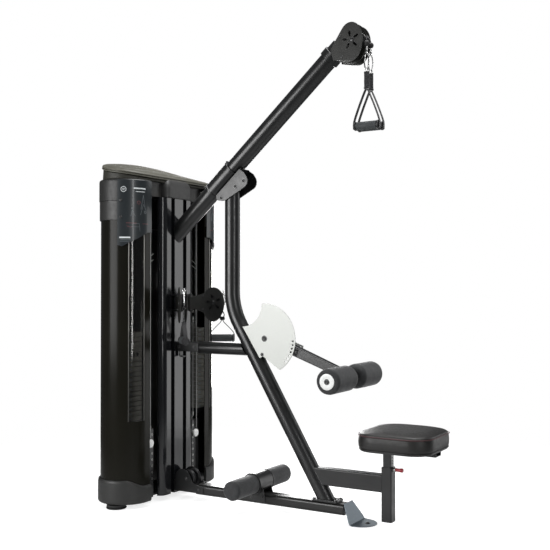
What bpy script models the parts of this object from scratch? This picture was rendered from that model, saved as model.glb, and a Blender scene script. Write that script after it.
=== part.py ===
"""Lat pulldown machine: twin weight tower, boom with pulley head, thigh and foot rollers, sliding seat.

Metres, +Z up. +X runs from the tower to the seat, the user's left is -Y. Lengths along X are given
from the tower's centre plane; every object hangs on an empty that moves them to the part's frame,
whose origin is on the floor under the middle of the footprint.
"""
from math import atan2, cos, pi, radians, sin, tan

import bmesh
import bpy
from mathutils import Matrix, Vector

# ---- driving dimensions -------------------------------------------------------------------
TOWER_X = -0.703            # the tower's centre plane in the part's frame
GAP = 0.0003                # clearance between pieces that touch

SHROUD_X, SHROUD_Y, SHROUD_R = -0.012, 0.270, 0.126   # half-oval of a shroud: arc centre, radius
SHROUD_INNER_Y = 0.237      # where a shroud ends beside the column
SHROUD_T = 0.004
SHROUD_BOTTOM, SHROUD_TOP = 0.040, 1.620
BASE_CAP_BOTTOM, BASE_CAP_TOP, BASE_CAP_FRONT = 0.025, 0.143, 0.109
TOP_CAP_BOTTOM, TOP_CAP_TOP = 1.422, 1.6262
PLACARD_TOP, PLACARD_OUTER, PLACARD_INNER = 1.620, 1.291, 1.362
LID_BOTTOM, LID_RIM, LID_FRONT, LID_BACK = 1.6266, 1.632, 1.660, 1.745
LID_DOME = 0.26                                        # fall of the back edge per square metre of Y
PLACARD_TURN = 69                                      # degrees the placard wraps round the corner

COLUMN_BACK, COLUMN_FRONT = 0.082, 0.116
COLUMN_HALF, COLUMN_CORNER = 0.138, 0.040
GROOVE_IN, GROOVE_OUT, GROOVE_X = 0.037, 0.065, 0.094
COLUMN_BOTTOM, COLUMN_TOP = 0.026, 1.5512

STACK_X, STACK_Y = -0.0145, 0.294                     # centre of a weight stack
PLATE_LENGTH, PLATE_WIDTH = 0.161, 0.110
PLATE_PITCH, PLATE_THICK = 0.0245, 0.0225
STACK_BOTTOM, REST_PLATES, LIFTED_PLATES = 0.427, 13, 5
GUIDE_OFFSET, GUIDE_R = 0.038, 0.010
STEM_R = 0.008
HEAD_BEAM = (1.560, 1.600)
KNOB_Z = 0.301

RAIL_START, RAIL_END = 0.250, 1.090
RAIL_HALF, RAIL_BOTTOM, RAIL_TOP = 0.038, 0.031, 0.083

TUBE_R = 0.038                                         # bent upright
UPRIGHT_X, BEND_Z = 0.451, 0.982
UPRIGHT_FOOT_X, UPRIGHT_FOOT_Z = 0.982, 0.090
BEND_TANGENT = 0.090
STRUT_Z, STRUT_R = 0.781, 0.031

BOOM_R, BOOM_ANGLE = 0.043, radians(41.8)
BOOM_X, BOOM_Z = 0.119, 1.384
SLEEVE_FROM, SLEEVE_TO = 0.288, 0.457                  # along the boom
COLLAR_AT, BOOM_LENGTH = 1.196, 1.260
SADDLE_UNDER = 0.0530                                  # saddle web's far face from the boom's axis
HEAD_X, HEAD_Z = 1.133, 2.237                          # pulley head axle
CHEEK_R, CHEEK_TOP, CHEEK_DROP = 0.061, 0.082, 0.101
CHEEK_Y, CHEEK_T = 0.0436, 0.0034                     # inner face and thickness of outer cheeks
WHEEL_X, WHEEL_R, WHEEL_W, WHEEL_Y = 1.140, 0.050, 0.020, 0.0225
AXLE_R, BORE_R = 0.0062, 0.0066

PULL_X = 1.204                                         # where a cable drops from its wheel
STOP_Z, STOP_R, HOOK_TOP, HOOK_BOTTOM = 2.215, 0.014, 2.196, 2.091
RING_Z, GRIP_Z, GRIP_HALF, GRIP_R = 2.004, 1.836, 0.052, 0.019

MID_PIVOT_X, MID_PIVOT_Y, MID_Z = 0.155, 0.051, 1.010
MID_REACH = 0.118
MID_ANGLES = {"left": radians(-45), "right": radians(32)}
MID_WHEEL_R, MID_CHEEK_Y = 0.046, 0.0140
MID_DROP, MID_HOOK_TOP, MID_RING_Z, MID_GRIP_Z = 0.166, 0.990, 0.925, 0.824

LOW_X, LOW_Z, LOW_R, LOW_CHEEK_Y = 0.196, 0.108, 0.042, 0.0386

PIVOT_X, PIVOT_Z = 0.667, 0.840                        # thigh arm pivot
QUADRANT_R, QUADRANT_Y, QUADRANT_T = 0.172, 0.0415, 0.004
THIGH_X, THIGH_Z, THIGH_HALF, THIGH_R = 1.111, 0.671, 0.242, 0.0585

FOOT_X, FOOT_Z, FOOT_HALF, FOOT_R = 0.607, 0.130, 0.254, 0.0462

POST_X, POST_HALF, POST_WALL = 1.299, 0.025, 0.003
POST_BOTTOM, POST_TOP = 0.027, 0.274
BEAM_BOTTOM, BEAM_TOP, BEAM_HALF = 0.158, 0.238, 0.025
INNER_HALF, INNER_BOTTOM = 0.0192, 0.060
SEAT_X, SEAT_LENGTH, SEAT_WIDTH, SEAT_CORNER = 1.375, 0.362, 0.372, 0.100
SEAT_BOTTOM, SEAT_TOP = 0.364, 0.453
SEAT_PIN_Z = 0.264

SIDES = {"left": -1, "right": 1}

# ---- materials ----------------------------------------------------------------------------
FINISHES = {
    "black_steel": ((0.022, 0.023, 0.025), 0.38, 0.6),
    "gloss_fascia": ((0.030, 0.032, 0.038), 0.16, 0.3),
    "smoked_acrylic": ((0.010, 0.010, 0.011), 0.08, 0.0),
    "black_sheet": ((0.012, 0.012, 0.013), 0.18, 0.1),
    "grey_plastic": ((0.040, 0.038, 0.036), 0.50, 0.0),
    "lid_plastic": ((0.110, 0.106, 0.095), 0.55, 0.0),
    "placard": ((0.055, 0.062, 0.070), 0.35, 0.2),
    "silver_plate": ((0.780, 0.790, 0.790), 0.34, 1.0),
    "chrome": ((0.800, 0.800, 0.810), 0.12, 1.0),
    "charcoal_foam": ((0.045, 0.046, 0.050), 0.85, 0.0),
    "black_vinyl": ((0.020, 0.017, 0.017), 0.50, 0.0),
    "black_rubber": ((0.018, 0.018, 0.018), 0.80, 0.0),
    "black_nylon": ((0.020, 0.020, 0.021), 0.60, 0.0),
    "red_plastic": ((0.300, 0.030, 0.040), 0.40, 0.0),
    "white_plastic": ((0.750, 0.760, 0.750), 0.45, 0.0),
    "cable_coat": ((0.060, 0.060, 0.062), 0.40, 0.0),
}


def finish(name):
    """The material of that name, made once."""
    if name in bpy.data.materials:
        return bpy.data.materials[name]
    colour, roughness, metallic = FINISHES[name]
    material = bpy.data.materials.new(name)
    material.use_nodes = True
    shader = material.node_tree.nodes["Principled BSDF"]
    shader.inputs["Base Color"].default_value = (*colour, 1.0)
    shader.inputs["Roughness"].default_value = roughness
    shader.inputs["Metallic"].default_value = metallic
    return material


# ---- solids -------------------------------------------------------------------------------
def loft(rings):
    """Closed solid through rings of 3-D points, with flat ends."""
    bm = bmesh.new()
    rows = [[bm.verts.new(p) for p in ring] for ring in rings]
    count = len(rows[0])
    for a, b in zip(rows, rows[1:]):
        for i in range(count):
            j = (i + 1) % count
            bm.faces.new((a[i], a[j], b[j], b[i]))
    bm.faces.new(rows[0])
    bm.faces.new(rows[-1])
    bmesh.ops.recalc_face_normals(bm, faces=bm.faces)
    return bm


def closed_loft(rings):
    """Solid ring: the last section joins the first."""
    bm = bmesh.new()
    rows = [[bm.verts.new(p) for p in ring] for ring in rings]
    count = len(rows[0])
    for k, a in enumerate(rows):
        b = rows[(k + 1) % len(rows)]
        for i in range(count):
            j = (i + 1) % count
            bm.faces.new((a[i], a[j], b[j], b[i]))
    bmesh.ops.recalc_face_normals(bm, faces=bm.faces)
    return bm


def prism(outline, axis, low, high):
    """Outline in the plane across an axis, extruded from low to high along it."""
    place = {
        "x": lambda p, h: (h, p[0], p[1]),
        "y": lambda p, h: (p[0], h, p[1]),
        "z": lambda p, h: (p[0], p[1], h),
    }[axis]
    return loft([[place(p, h) for p in outline] for h in (low, high)])


def box(x, y, z):
    """Box between pairs of limits."""
    return prism([(x[0], y[0]), (x[1], y[0]), (x[1], y[1]), (x[0], y[1])], "z", *z)


def arc(centre, radius, start, end, steps):
    """Points of an arc in a plane; angles in radians."""
    angles = [start + (end - start) * i / steps for i in range(steps + 1)]
    return [(centre[0] + radius * cos(a), centre[1] + radius * sin(a)) for a in angles]


def rounded_rectangle(half_a, half_b, radius, steps=3, centre=(0, 0)):
    """Rectangle outline with round corners."""
    points = []
    for k, (sa, sb) in enumerate(((1, 1), (-1, 1), (-1, -1), (1, -1))):
        middle = (centre[0] + sa * (half_a - radius), centre[1] + sb * (half_b - radius))
        points += arc(middle, radius, k * pi / 2, (k + 1) * pi / 2, steps)
    return points


def frame_of(direction):
    """Two unit vectors across a direction."""
    side = Vector((0, 1, 0)) if abs(direction.y) < 0.9 else Vector((1, 0, 0))
    across = direction.cross(side).normalized()
    return across, direction.cross(across).normalized()


def ring_points(centre, direction, radius, sides, along=0.0):
    """Circle of points round a centre, across a direction."""
    a, b = frame_of(direction)
    turns = [2 * pi * i / sides for i in range(sides)]
    return [centre + direction * along + (a * cos(t) + b * sin(t)) * radius for t in turns]


def turned(start, direction, profile, sides=20):
    """Solid of revolution: profile of (distance along, radius) with flat ends."""
    start, direction = Vector(start), Vector(direction).normalized()
    return loft([ring_points(start, direction, r, sides, s) for s, r in profile])


def rod(start, end, radius, sides=16):
    """Round bar between two points."""
    start, end = Vector(start), Vector(end)
    return turned(start, end - start, [(0, radius), ((end - start).length, radius)], sides)


def collar(start, direction, profile, sides=20):
    """Ring of revolution: closed profile of (distance along, radius)."""
    start, direction = Vector(start), Vector(direction).normalized()
    a, b = frame_of(direction)
    rings = []
    for i in range(sides):
        out = a * cos(2 * pi * i / sides) + b * sin(2 * pi * i / sides)
        rings.append([start + direction * s + out * r for s, r in profile])
    return closed_loft(rings)


def washer(start, direction, inner, outer, length, sides=20):
    """Plain tube section."""
    return collar(start, direction, [(0, inner), (length, inner), (length, outer), (0, outer)], sides)


def sweep(path, radius, sides, start_plane=None, end_plane=None):
    """Round bar along a path; an end may be cut by a plane given as (point, normal)."""
    path = [Vector(p) for p in path]
    rings = []
    for i, point in enumerate(path):
        before = path[max(i - 1, 0)]
        after = path[min(i + 1, len(path) - 1)]
        rings.append(ring_points(point, (after - before).normalized(), radius, sides))
    ends = ((0, start_plane, path[1] - path[0]), (-1, end_plane, path[-1] - path[-2]))
    for index, plane, direction in ends:
        if plane:
            point, normal = Vector(plane[0]), Vector(plane[1])
            rings[index] = [p + direction * ((point - p).dot(normal) / direction.dot(normal))
                            for p in rings[index]]
    return loft(rings)


def shifted(solid, offset=(0, 0, 0), turn=0.0, about=(0, 0, 0)):
    """Turn a solid about a vertical line, then move it."""
    bmesh.ops.rotate(solid, verts=solid.verts, cent=about, matrix=Matrix.Rotation(turn, 3, "Z"))
    bmesh.ops.translate(solid, verts=solid.verts, vec=offset)
    return solid


def boolean(solid, others, operation):
    """Add to a solid, or cut from it, each of the others in turn."""
    def helper(shape):
        mesh = bpy.data.meshes.new("helper")
        shape.to_mesh(mesh)
        shape.free()
        obj = bpy.data.objects.new("helper", mesh)
        bpy.context.scene.collection.objects.link(obj)
        return obj

    target = helper(solid)
    tools = [helper(other) for other in others]
    for tool in tools:
        modifier = target.modifiers.new("cut", "BOOLEAN")
        modifier.operation = operation
        modifier.solver = "EXACT"
        modifier.object = tool
    bpy.context.view_layer.update()
    result = bmesh.new()
    evaluated = target.evaluated_get(bpy.context.evaluated_depsgraph_get())
    result.from_mesh(evaluated.to_mesh())
    for obj in [target, *tools]:
        bpy.data.objects.remove(obj)
    bmesh.ops.remove_doubles(result, verts=result.verts, dist=0.000002)
    return result


def fuse(first, *others):
    return boolean(first, others, "UNION")


def cut(first, *others):
    return boolean(first, others, "DIFFERENCE")


def make(name, solid, material, origin=(0, 0, 0), sharp=35):
    """Object for one node, its origin on the given point of the tower's frame."""
    origin = Vector(origin)
    bmesh.ops.translate(solid, verts=solid.verts, vec=-origin)
    mesh = bpy.data.meshes.new(name)
    solid.to_mesh(mesh)
    solid.free()
    mesh.shade_smooth()
    mesh.set_sharp_from_angle(angle=radians(sharp))
    mesh.materials.append(finish(material))
    obj = bpy.data.objects.new(name, mesh)
    obj.location = origin
    obj.parent = bpy.data.objects["tower_plane"]
    bpy.context.scene.collection.objects.link(obj)
    return obj


# ---- tower --------------------------------------------------------------------------------
def half_oval(offset, side, steps=14, inner=SHROUD_INNER_Y):
    """Plan of a shroud at an offset from its face, from the front inner end round to the back."""
    radius = SHROUD_R + offset
    points = [(SHROUD_X + radius, inner), (SHROUD_X + radius, (inner + SHROUD_Y) / 2)]
    points += arc((SHROUD_X, SHROUD_Y), radius, 0, pi, steps)
    points += [(SHROUD_X - radius, inner)]
    return [(x, side * y) for x, y in points]


def shroud(side):
    outline = half_oval(0, side) + half_oval(-SHROUD_T, side)[::-1]
    return prism(outline, "z", SHROUD_BOTTOM, SHROUD_TOP)


def base_cap(side):
    """Flared skirt whose top edge dips towards the column."""
    levels = [(GAP, 0), (0.006, 0), (0.012, 0.009), (0.011, -0.014), (0.006, -1), (GAP, -1)]
    plans = [half_oval(offset, side) for offset, _ in levels]
    rings = []
    for i in range(len(plans[0])):
        blend = min(max((i - 1) / 4, 0), 1)
        blend = blend * blend * (3 - 2 * blend)
        top = BASE_CAP_FRONT + (BASE_CAP_TOP - BASE_CAP_FRONT) * blend
        heights = [BASE_CAP_BOTTOM, BASE_CAP_BOTTOM, BASE_CAP_BOTTOM + 0.009, top - 0.014, top, top]
        rings.append([(plan[i][0], plan[i][1], z) for plan, z in zip(plans, heights)])
    return loft(rings)


def top_cap(side):
    outline = half_oval(0.0054, side) + half_oval(GAP, side)[::-1]
    return prism(outline, "z", TOP_CAP_BOTTOM, TOP_CAP_TOP)


def placard(side):
    """Curved plate over the front corner; its lower edge rises towards the column."""
    def plan(offset):
        radius = SHROUD_R + offset
        points = [(SHROUD_X + radius, 0.240), (SHROUD_X + radius, 0.255)]
        return points + arc((SHROUD_X, SHROUD_Y), radius, 0, radians(PLACARD_TURN), 7)

    rings = []
    for i, (near, far) in enumerate(zip(plan(0.0072), plan(0.0115))):
        low = PLACARD_INNER + (PLACARD_OUTER - PLACARD_INNER) * min(i / 6, 1)
        rings.append([(near[0], side * near[1], low), (far[0], side * far[1], low),
                      (far[0], side * far[1], PLACARD_TOP), (near[0], side * near[1], PLACARD_TOP)])
    return loft(rings)


def lid_height(x, y):
    """The lid rises from the front of the tower to its domed back edge."""
    share = (SHROUD_X + SHROUD_R - x) / (2 * SHROUD_R)
    return LID_FRONT + (LID_BACK - LID_FRONT - LID_DOME * y * y) * share


def top_cover():
    """Domed lid with round ends, and the fascia with the bulge above the column."""
    radius = SHROUD_R - 0.004
    stations = [(SHROUD_Y + radius * sin(radians(a)), radius * cos(radians(a))) for a in (84, 72, 55, 38, 20, 0)]
    stations += [(0.180, radius), (0.090, radius)]
    rings = []
    for y, half in stations + [(0.0, radius)] + [(-y, half) for y, half in stations[::-1]]:
        front, back = SHROUD_X + half, SHROUD_X - half
        ease = min(0.010, half / 3)
        rings.append([(front - 0.002, y, LID_BOTTOM), (front, y, LID_RIM), (front, y, lid_height(front, y) - 0.004),
                      (front - ease, y, lid_height(front - ease, y)), (back + ease, y, lid_height(back + ease, y)),
                      (back, y, lid_height(back, y) - 0.004), (back, y, LID_RIM), (back + 0.002, y, LID_BOTTOM)])
    fascia = box((0.020, 0.088), (-0.236, 0.236), (1.5516, 1.640))
    bulge = prism([(0.050, -0.115), (0.105, -0.115), (0.126, -0.092), (0.126, 0.092),
                   (0.105, 0.115), (0.050, 0.115)], "z", 1.5516, 1.6405)
    return fuse(loft(rings), fascia, bulge)


def column():
    """Grooved fascia between the shrouds."""
    depth = COLUMN_FRONT - COLUMN_BACK
    half = []
    for i in range(5):
        angle = pi / 2 * i / 4
        half.append((COLUMN_BACK + depth * sin(angle),
                     COLUMN_HALF - COLUMN_CORNER * (1 - cos(angle))))
    half += [(COLUMN_FRONT, GROOVE_OUT), (GROOVE_X, GROOVE_OUT), (GROOVE_X, GROOVE_IN),
             (COLUMN_FRONT, GROOVE_IN)]
    outline = half + [(x, -y) for x, y in half[::-1]]
    return fuse(prism(outline, "z", COLUMN_BOTTOM, COLUMN_TOP), *swivel_brackets())


def side_post(side):
    """Drilled post beside the column, bored for its lock knob."""
    body = box((0.020, 0.080), sorted((side * 0.166, side * 0.227)), (0.0263, 0.373))
    hole_y, knob_y = side * 0.176, side * 0.195
    tools = [rod((0.010, hole_y, 0.120 + 0.032 * i), (0.100, hole_y, 0.120 + 0.032 * i), 0.004, 6)
             for i in range(8)]
    tools.append(rod((0.010, knob_y, KNOB_Z), (0.100, knob_y, KNOB_Z), 0.0065, 10))
    return cut(body, *tools)


def tower_frame():
    """Welded frame inside the tower: floor beam, posts, braces, stack stands, rods and head beam."""
    floor_beam = box((-0.065, 0.0447), (-0.370, 0.370), (0.0203, 0.060))
    parts = [
        box((-0.060, 0.020), (-0.350, 0.350), HEAD_BEAM),
        box((-0.055, -0.020), (-0.232, 0.232), (1.088, 1.170)),
        box((0.030, COLUMN_BACK - GAP), (-0.120, 0.120), (0.030, 0.090)),
        box((-0.050, COLUMN_BACK - GAP), (-0.020, 0.020), (1.395, 1.425)),
    ]
    for side in SIDES.values():
        for low, high, y0, y1 in ((0.050, 1.570, 0.150, 0.200), (0.050, 0.410, 0.280, 0.310)):
            ys = sorted((side * y0, side * y1))
            parts.append(box((-0.058, -0.012), ys, (low, high)))
        ys = sorted((side * 0.240, side * 0.348))
        parts.append(box((-0.090, 0.062), ys, (0.400, STACK_BOTTOM - GAP)))
        for offset in (-GUIDE_OFFSET, GUIDE_OFFSET):
            y = side * (STACK_Y + offset)
            parts.append(rod((STACK_X, y, 0.410), (STACK_X, y, 1.570), GUIDE_R, 10))
        parts.append(side_post(side))
    parts.append(box((-0.050, -0.025), (-0.190, 0.190), (1.395, 1.425)))
    return fuse(floor_beam, *parts)


def plates(side, first, count):
    """A run of plates, notched round both guide rods and slotted to the front for stem and pin."""
    half_l, half_w = PLATE_LENGTH / 2, PLATE_WIDTH / 2
    notch, reach = GUIDE_R + 0.0015, GUIDE_OFFSET - GUIDE_R - 0.0015
    slot, back = STEM_R + 0.0015, -STEM_R - 0.0015
    outline = [
        (half_l, -half_w), (half_l, -slot), (back, -slot), (back, slot), (half_l, slot),
        (half_l, half_w), (notch, half_w), (notch, reach), (-notch, reach), (-notch, half_w),
        (-half_l, half_w), (-half_l, -half_w), (-notch, -half_w), (-notch, -reach),
        (notch, -reach), (notch, -half_w),
    ]
    placed = [(STACK_X + x, side * STACK_Y + y) for x, y in outline]
    low = STACK_BOTTOM + first * PLATE_PITCH
    return prism(placed, "z", low, low + (count - 1) * PLATE_PITCH + PLATE_THICK)


def lifted_plates(side):
    """The plates above the pin with the stem that runs down through the resting ones."""
    top = STACK_BOTTOM + (REST_PLATES + LIFTED_PLATES) * PLATE_PITCH - PLATE_PITCH + PLATE_THICK
    y = side * STACK_Y
    stem = turned((STACK_X, y, STACK_BOTTOM + 0.004), (0, 0, 1),
                  [(0, STEM_R), (top - STACK_BOTTOM, STEM_R)], 10)
    bridge = box((STACK_X - 0.020, STACK_X + 0.020), (y - 0.015, y + 0.015), (top - 0.016, top - 0.004))
    yoke = turned((STACK_X, y, top - 0.002), (0, 0, 1), [(0, 0.020), (0.018, 0.020), (0.030, 0.008)], 12)
    return fuse(plates(side, REST_PLATES, LIFTED_PLATES), stem, bridge, yoke)


def selector_pin(side):
    """Headed pin pushed in from the front, under the last lifted plate."""
    z = STACK_BOTTOM + REST_PLATES * PLATE_PITCH + PLATE_THICK / 2
    start = STACK_X + STEM_R + GAP
    return turned((start, side * STACK_Y, z), (1, 0, 0),
                  [(0, 0.004), (0.076, 0.004), (0.0765, 0.010), (0.086, 0.011), (0.088, 0.008)], 10)


def lock_knob(side):
    return turned((0.052, side * 0.195, KNOB_Z), (1, 0, 0),
                  [(0, 0.0055), (0.0283, 0.0055), (0.0284, 0.0200), (0.036, 0.0215), (0.040, 0.0190)], 16)


def foot_pad(side):
    return turned((0, side * 0.355, 0), (0, 0, 1), [(0, 0.049), (0.003, 0.051), (0.020, 0.049)], 20)


# ---- frame --------------------------------------------------------------------------------
def upright_path():
    """Straight down, a wide bend, then straight to the rail."""
    lean = atan2(UPRIGHT_FOOT_X - UPRIGHT_X, BEND_Z - UPRIGHT_FOOT_Z)
    radius = BEND_TANGENT / tan(lean / 2)
    points = [(UPRIGHT_X, 0, BOOM_Z)]
    for i in range(7):
        a = lean * i / 6
        x = UPRIGHT_X + radius * (1 - cos(a))
        points.append((x, 0, BEND_Z + BEND_TANGENT - radius * sin(a)))
    points.append((UPRIGHT_FOOT_X, 0, UPRIGHT_FOOT_Z))
    return points


def upright():
    """Bent tube welded to its foot flange."""
    flange_top = RAIL_TOP + 0.010
    down = boom_down()
    under_boom = (boom_point(0) + down * (SADDLE_UNDER + GAP), down)
    tube = sweep(upright_path(), TUBE_R, 18, under_boom, ((0, 0, flange_top - 0.004), (0, 0, 1)))
    flange = box((0.925, 1.055), (-0.038, 0.038), (RAIL_TOP + GAP, flange_top))
    return fuse(tube, flange)


def tube_clearance():
    """The upright's own shape with the touching gap, to notch what meets it."""
    return sweep(upright_path(), TUBE_R + GAP, 18)


def base_rail():
    outline = rounded_rectangle(RAIL_HALF, (RAIL_TOP - RAIL_BOTTOM) / 2, 0.016, 4,
                                (0, (RAIL_TOP + RAIL_BOTTOM) / 2))
    return prism(outline, "x", RAIL_START, RAIL_END)


def front_foot_plate():
    """Bent plate: a sloped trapezoid on the rail's end and a round tab on the floor."""
    thick = 0.004
    bend_x, tab_end = 1.142, 1.237
    top_x, top_z = RAIL_END + 0.0060, 0.090
    slope = Vector((top_x - bend_x, 0, top_z)).normalized()
    normal = Vector((-slope.z, 0, slope.x))
    low, high = Vector((bend_x, 0, 0)), Vector((top_x, 0, top_z))
    rings = []
    for centre, half in ((low + slope * 0.001, 0.078), (low + slope * 0.012, 0.078), (high, 0.0425)):
        rings.append([centre + Vector((0, -half, 0)), centre + Vector((0, half, 0)),
                      centre + normal * -thick + Vector((0, half, 0)),
                      centre + normal * -thick + Vector((0, -half, 0))])
    for corner in rings[0]:
        corner.z = max(corner.z, 0.0)
    outline = [(bend_x - 0.006, -0.078), (bend_x, -0.078)]
    outline += [(bend_x + 0.012 + (tab_end - bend_x - 0.012) * cos(a), 0.074 * sin(a))
                for a in [-pi / 2 + pi * i / 10 for i in range(11)]]
    outline += [(bend_x, 0.078), (bend_x - 0.006, 0.078)]
    return fuse(loft(rings), prism(outline, "z", 0, thick))


def mid_strut():
    """Round strut from its bracket on the column to the upright, with a small cable hook."""
    strut = rod((0.250, 0, STRUT_Z), (0.575, 0, STRUT_Z), STRUT_R, 16)
    bracket = box((COLUMN_FRONT + GAP, 0.262), (-0.036, 0.036), (STRUT_Z - 0.022, STRUT_Z + 0.026))
    drop = box((0.126, 0.132), (-0.012, 0.012), (STRUT_Z - 0.048, STRUT_Z - 0.015))
    toe = box((0.126, 0.152), (-0.012, 0.012), (STRUT_Z - 0.054, STRUT_Z - 0.047))
    return cut(fuse(strut, bracket, drop, toe), tube_clearance())


def boom_direction():
    return Vector((cos(BOOM_ANGLE), 0, sin(BOOM_ANGLE)))


def boom_down():
    """Across the boom, towards its underside."""
    return Vector((sin(BOOM_ANGLE), 0, -cos(BOOM_ANGLE)))


def boom_point(distance):
    return Vector((BOOM_X, 0, BOOM_Z)) + boom_direction() * distance


def boom():
    """Sloping tube with a collar near its upper end."""
    plane = ((COLUMN_FRONT + GAP, 0, 0), (1, 0, 0))
    tube = sweep([boom_point(0), boom_point(BOOM_LENGTH)], BOOM_R, 20, start_plane=plane)
    ring = turned(boom_point(COLLAR_AT - 0.020), boom_direction(), [(0, 0.050), (0.040, 0.050)], 20)
    return fuse(tube, ring)


def boom_sleeve():
    """Sleeve with a lip at each end, and the saddle that bolts it to the upright."""
    length = SLEEVE_TO - SLEEVE_FROM
    inner = BOOM_R + GAP
    profile = [(0, inner), (length, inner), (length, 0.052), (length - 0.009, 0.052),
               (length - 0.010, 0.048), (0.010, 0.048), (0.009, 0.052), (0, 0.052)]
    sleeve = collar(boom_point(SLEEVE_FROM), boom_direction(), profile, 20)
    down = boom_down()
    seat_low, seat_high = boom_point(0.305), boom_point(0.500)
    web = [seat_low + down * 0.0462, seat_low + down * SADDLE_UNDER,
           seat_high + down * SADDLE_UNDER, seat_high + down * 0.0462]
    saddle = [prism([(p.x, p.z) for p in web], "y", -0.042, 0.042)]
    low, high = boom_point(0.309) + down * 0.049, boom_point(0.496) + down * 0.049
    outline = [(low.x, low.z), (0.385, 1.534), (0.424, 1.523), (0.562, 1.594), (0.568, 1.622),
               (0.548, 1.660), (high.x, high.z)]
    for y in (-0.0465, 0.0405):
        saddle.append(prism(outline, "y", y, y + 0.006))
    room = rod(boom_point(0.15), boom_point(0.70), inner + 0.0010, 20)
    return fuse(sleeve, cut(fuse(*saddle), room))


def seat_beam():
    """Beam welded to the square socket post of the seat."""
    beam = box((0.9155, POST_X), (-BEAM_HALF, BEAM_HALF), (BEAM_BOTTOM, BEAM_TOP))
    post = box((POST_X - POST_HALF, POST_X + POST_HALF), (-POST_HALF - 0.0002, POST_HALF + 0.0002),
               (POST_BOTTOM, POST_TOP))
    bore_half = POST_HALF - POST_WALL
    bore = box((POST_X - bore_half, POST_X + bore_half), (-bore_half, bore_half), (0.0, 0.4))
    pin_bore = rod((POST_X + 0.010, 0, SEAT_PIN_Z), (POST_X + 0.050, 0, SEAT_PIN_Z), 0.0068, 10)
    return cut(fuse(cut(beam, tube_clearance()), post), bore, pin_bore)


# ---- pulleys ------------------------------------------------------------------------------
def egg(centre, half, up, down, steps=10):
    """Egg outline: two half ellipses of different height."""
    points = []
    for i in range(2 * steps):
        a = pi * i / steps
        reach = up if sin(a) > 0 else down
        points.append((centre[0] + half * cos(a), centre[1] + reach * sin(a)))
    return points


def wheel(x, y, z, radius, width=WHEEL_W, sides=14):
    """Grooved pulley wheel across Y."""
    profile = [(0, BORE_R), (width, BORE_R), (width, radius), (width / 2 + 0.003, radius - 0.006),
               (width / 2 - 0.003, radius - 0.006), (0, radius)]
    return collar((x, y - width / 2, z), (0, 1, 0), profile, sides)


def pulley_head():
    """Three cheek plates on one axle, bolted over the boom's end."""
    outer = CHEEK_Y + CHEEK_T
    tail = [(1.018, 2.192), (1.042, 2.150), (1.100, 2.140), (1.133, 2.20), (1.09, 2.262), (1.055, 2.235)]
    plates = []
    for low, high in ((-outer, -CHEEK_Y), (-0.0015, 0.0015), (CHEEK_Y, outer)):
        body = prism(egg((HEAD_X, HEAD_Z), CHEEK_R, CHEEK_TOP, CHEEK_DROP), "y", low, high)
        plate_solid = fuse(body, prism(tail, "y", low + 0.0001, high - 0.0001))
        room = [rod(boom_point(0.9), boom_point(BOOM_LENGTH + GAP), BOOM_R + GAP, 20),
                rod(boom_point(1.1), boom_point(COLLAR_AT + 0.0205), 0.0505, 20)]
        plates.append(cut(plate_solid, *room))
    axle = rod((WHEEL_X, -outer - 0.004, HEAD_Z), (WHEEL_X, outer + 0.004, HEAD_Z), AXLE_R, 12)
    return fuse(axle, *plates)


def pull_cable(side):
    """The short free end between a wheel and its ball stop."""
    y = side * WHEEL_Y
    return rod((PULL_X, y, STOP_Z + STOP_R + GAP), (PULL_X, y, 2.250), 0.0030, 8)


def snap_hook(x, y, top, bottom, along=(1, 0, 0)):
    """Swivel eye and oval spring hook, as one bent bar with its gate."""
    centre = Vector((x, y, (top + bottom) / 2))
    along = Vector(along)
    half = (top - bottom) / 2 - 0.0035
    path = []
    for i in range(12):
        a = 2 * pi * i / 12
        width = 0.0125 if sin(a) < 0 else 0.0085
        path.append(centre + along * width * cos(a) + Vector((0, 0, half * sin(a))))
    sides = 5
    across = along.cross(Vector((0, 0, 1)))
    rings = []
    for i, point in enumerate(path):
        out = (point - centre).normalized()
        rings.append([point + (out * cos(t) + across * sin(t)) * 0.0035
                      for t in [2 * pi * k / sides for k in range(sides)]])
    return closed_loft(rings)


def ball_stop(x, y, z, radius):
    profile = [(-radius * cos(pi * i / 6), radius * max(sin(pi * i / 6), 0.25)) for i in range(7)]
    return turned((x, y, z), (0, 0, 1), profile, 12)


def hook_set(side):
    """Ball stop, shackle stem and snap hook below one wheel."""
    y = side * WHEEL_Y
    stem = rod((PULL_X, y, HOOK_TOP - 0.003), (PULL_X, y, STOP_Z - 0.006), 0.0035, 8)
    hook = snap_hook(PULL_X, y, HOOK_TOP, HOOK_BOTTOM)
    return fuse(ball_stop(PULL_X, y, STOP_Z, STOP_R), stem, hook)


def stirrup(x, y, apex_z, grip_z, strap_top):
    """Webbing tab, ring and the two straps that spread to the grip's ends."""
    half_span, width = GRIP_HALF + 0.0125, 0.011
    straps = []
    for sign in (-1, 1):
        edge = x + sign * half_span
        outline = [(x, apex_z + 0.004), (x + sign * 0.005, apex_z + 0.002),
                   (edge + sign * 0.0015, grip_z + 0.023), (edge + sign * 0.0015, grip_z - 0.016),
                   (edge - sign * 0.0015, grip_z - 0.016), (edge - sign * 0.0015, grip_z + 0.025),
                   (x, apex_z - 0.004)]
        straps.append(prism(outline, "y", y - width / 2, y + width / 2))
    tab = box((x - 0.013, x + 0.013), (y - 0.002, y + 0.002), (apex_z - 0.001, strap_top))
    return fuse(tab, *straps)


def handle_grip(x, y, z):
    """Turning grip with a disc at each end."""
    h = GRIP_HALF
    profile = [(-h - 0.010, 0.019), (-h - 0.009, 0.0205), (-h - 0.001, 0.0205), (-h, GRIP_R - 0.003),
               (-h + 0.012, GRIP_R), (h - 0.012, GRIP_R), (h, GRIP_R - 0.003), (h + 0.001, 0.0205),
               (h + 0.009, 0.0205), (h + 0.010, 0.019)]
    return turned((x, y, z), (1, 0, 0), profile, 12)


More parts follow.
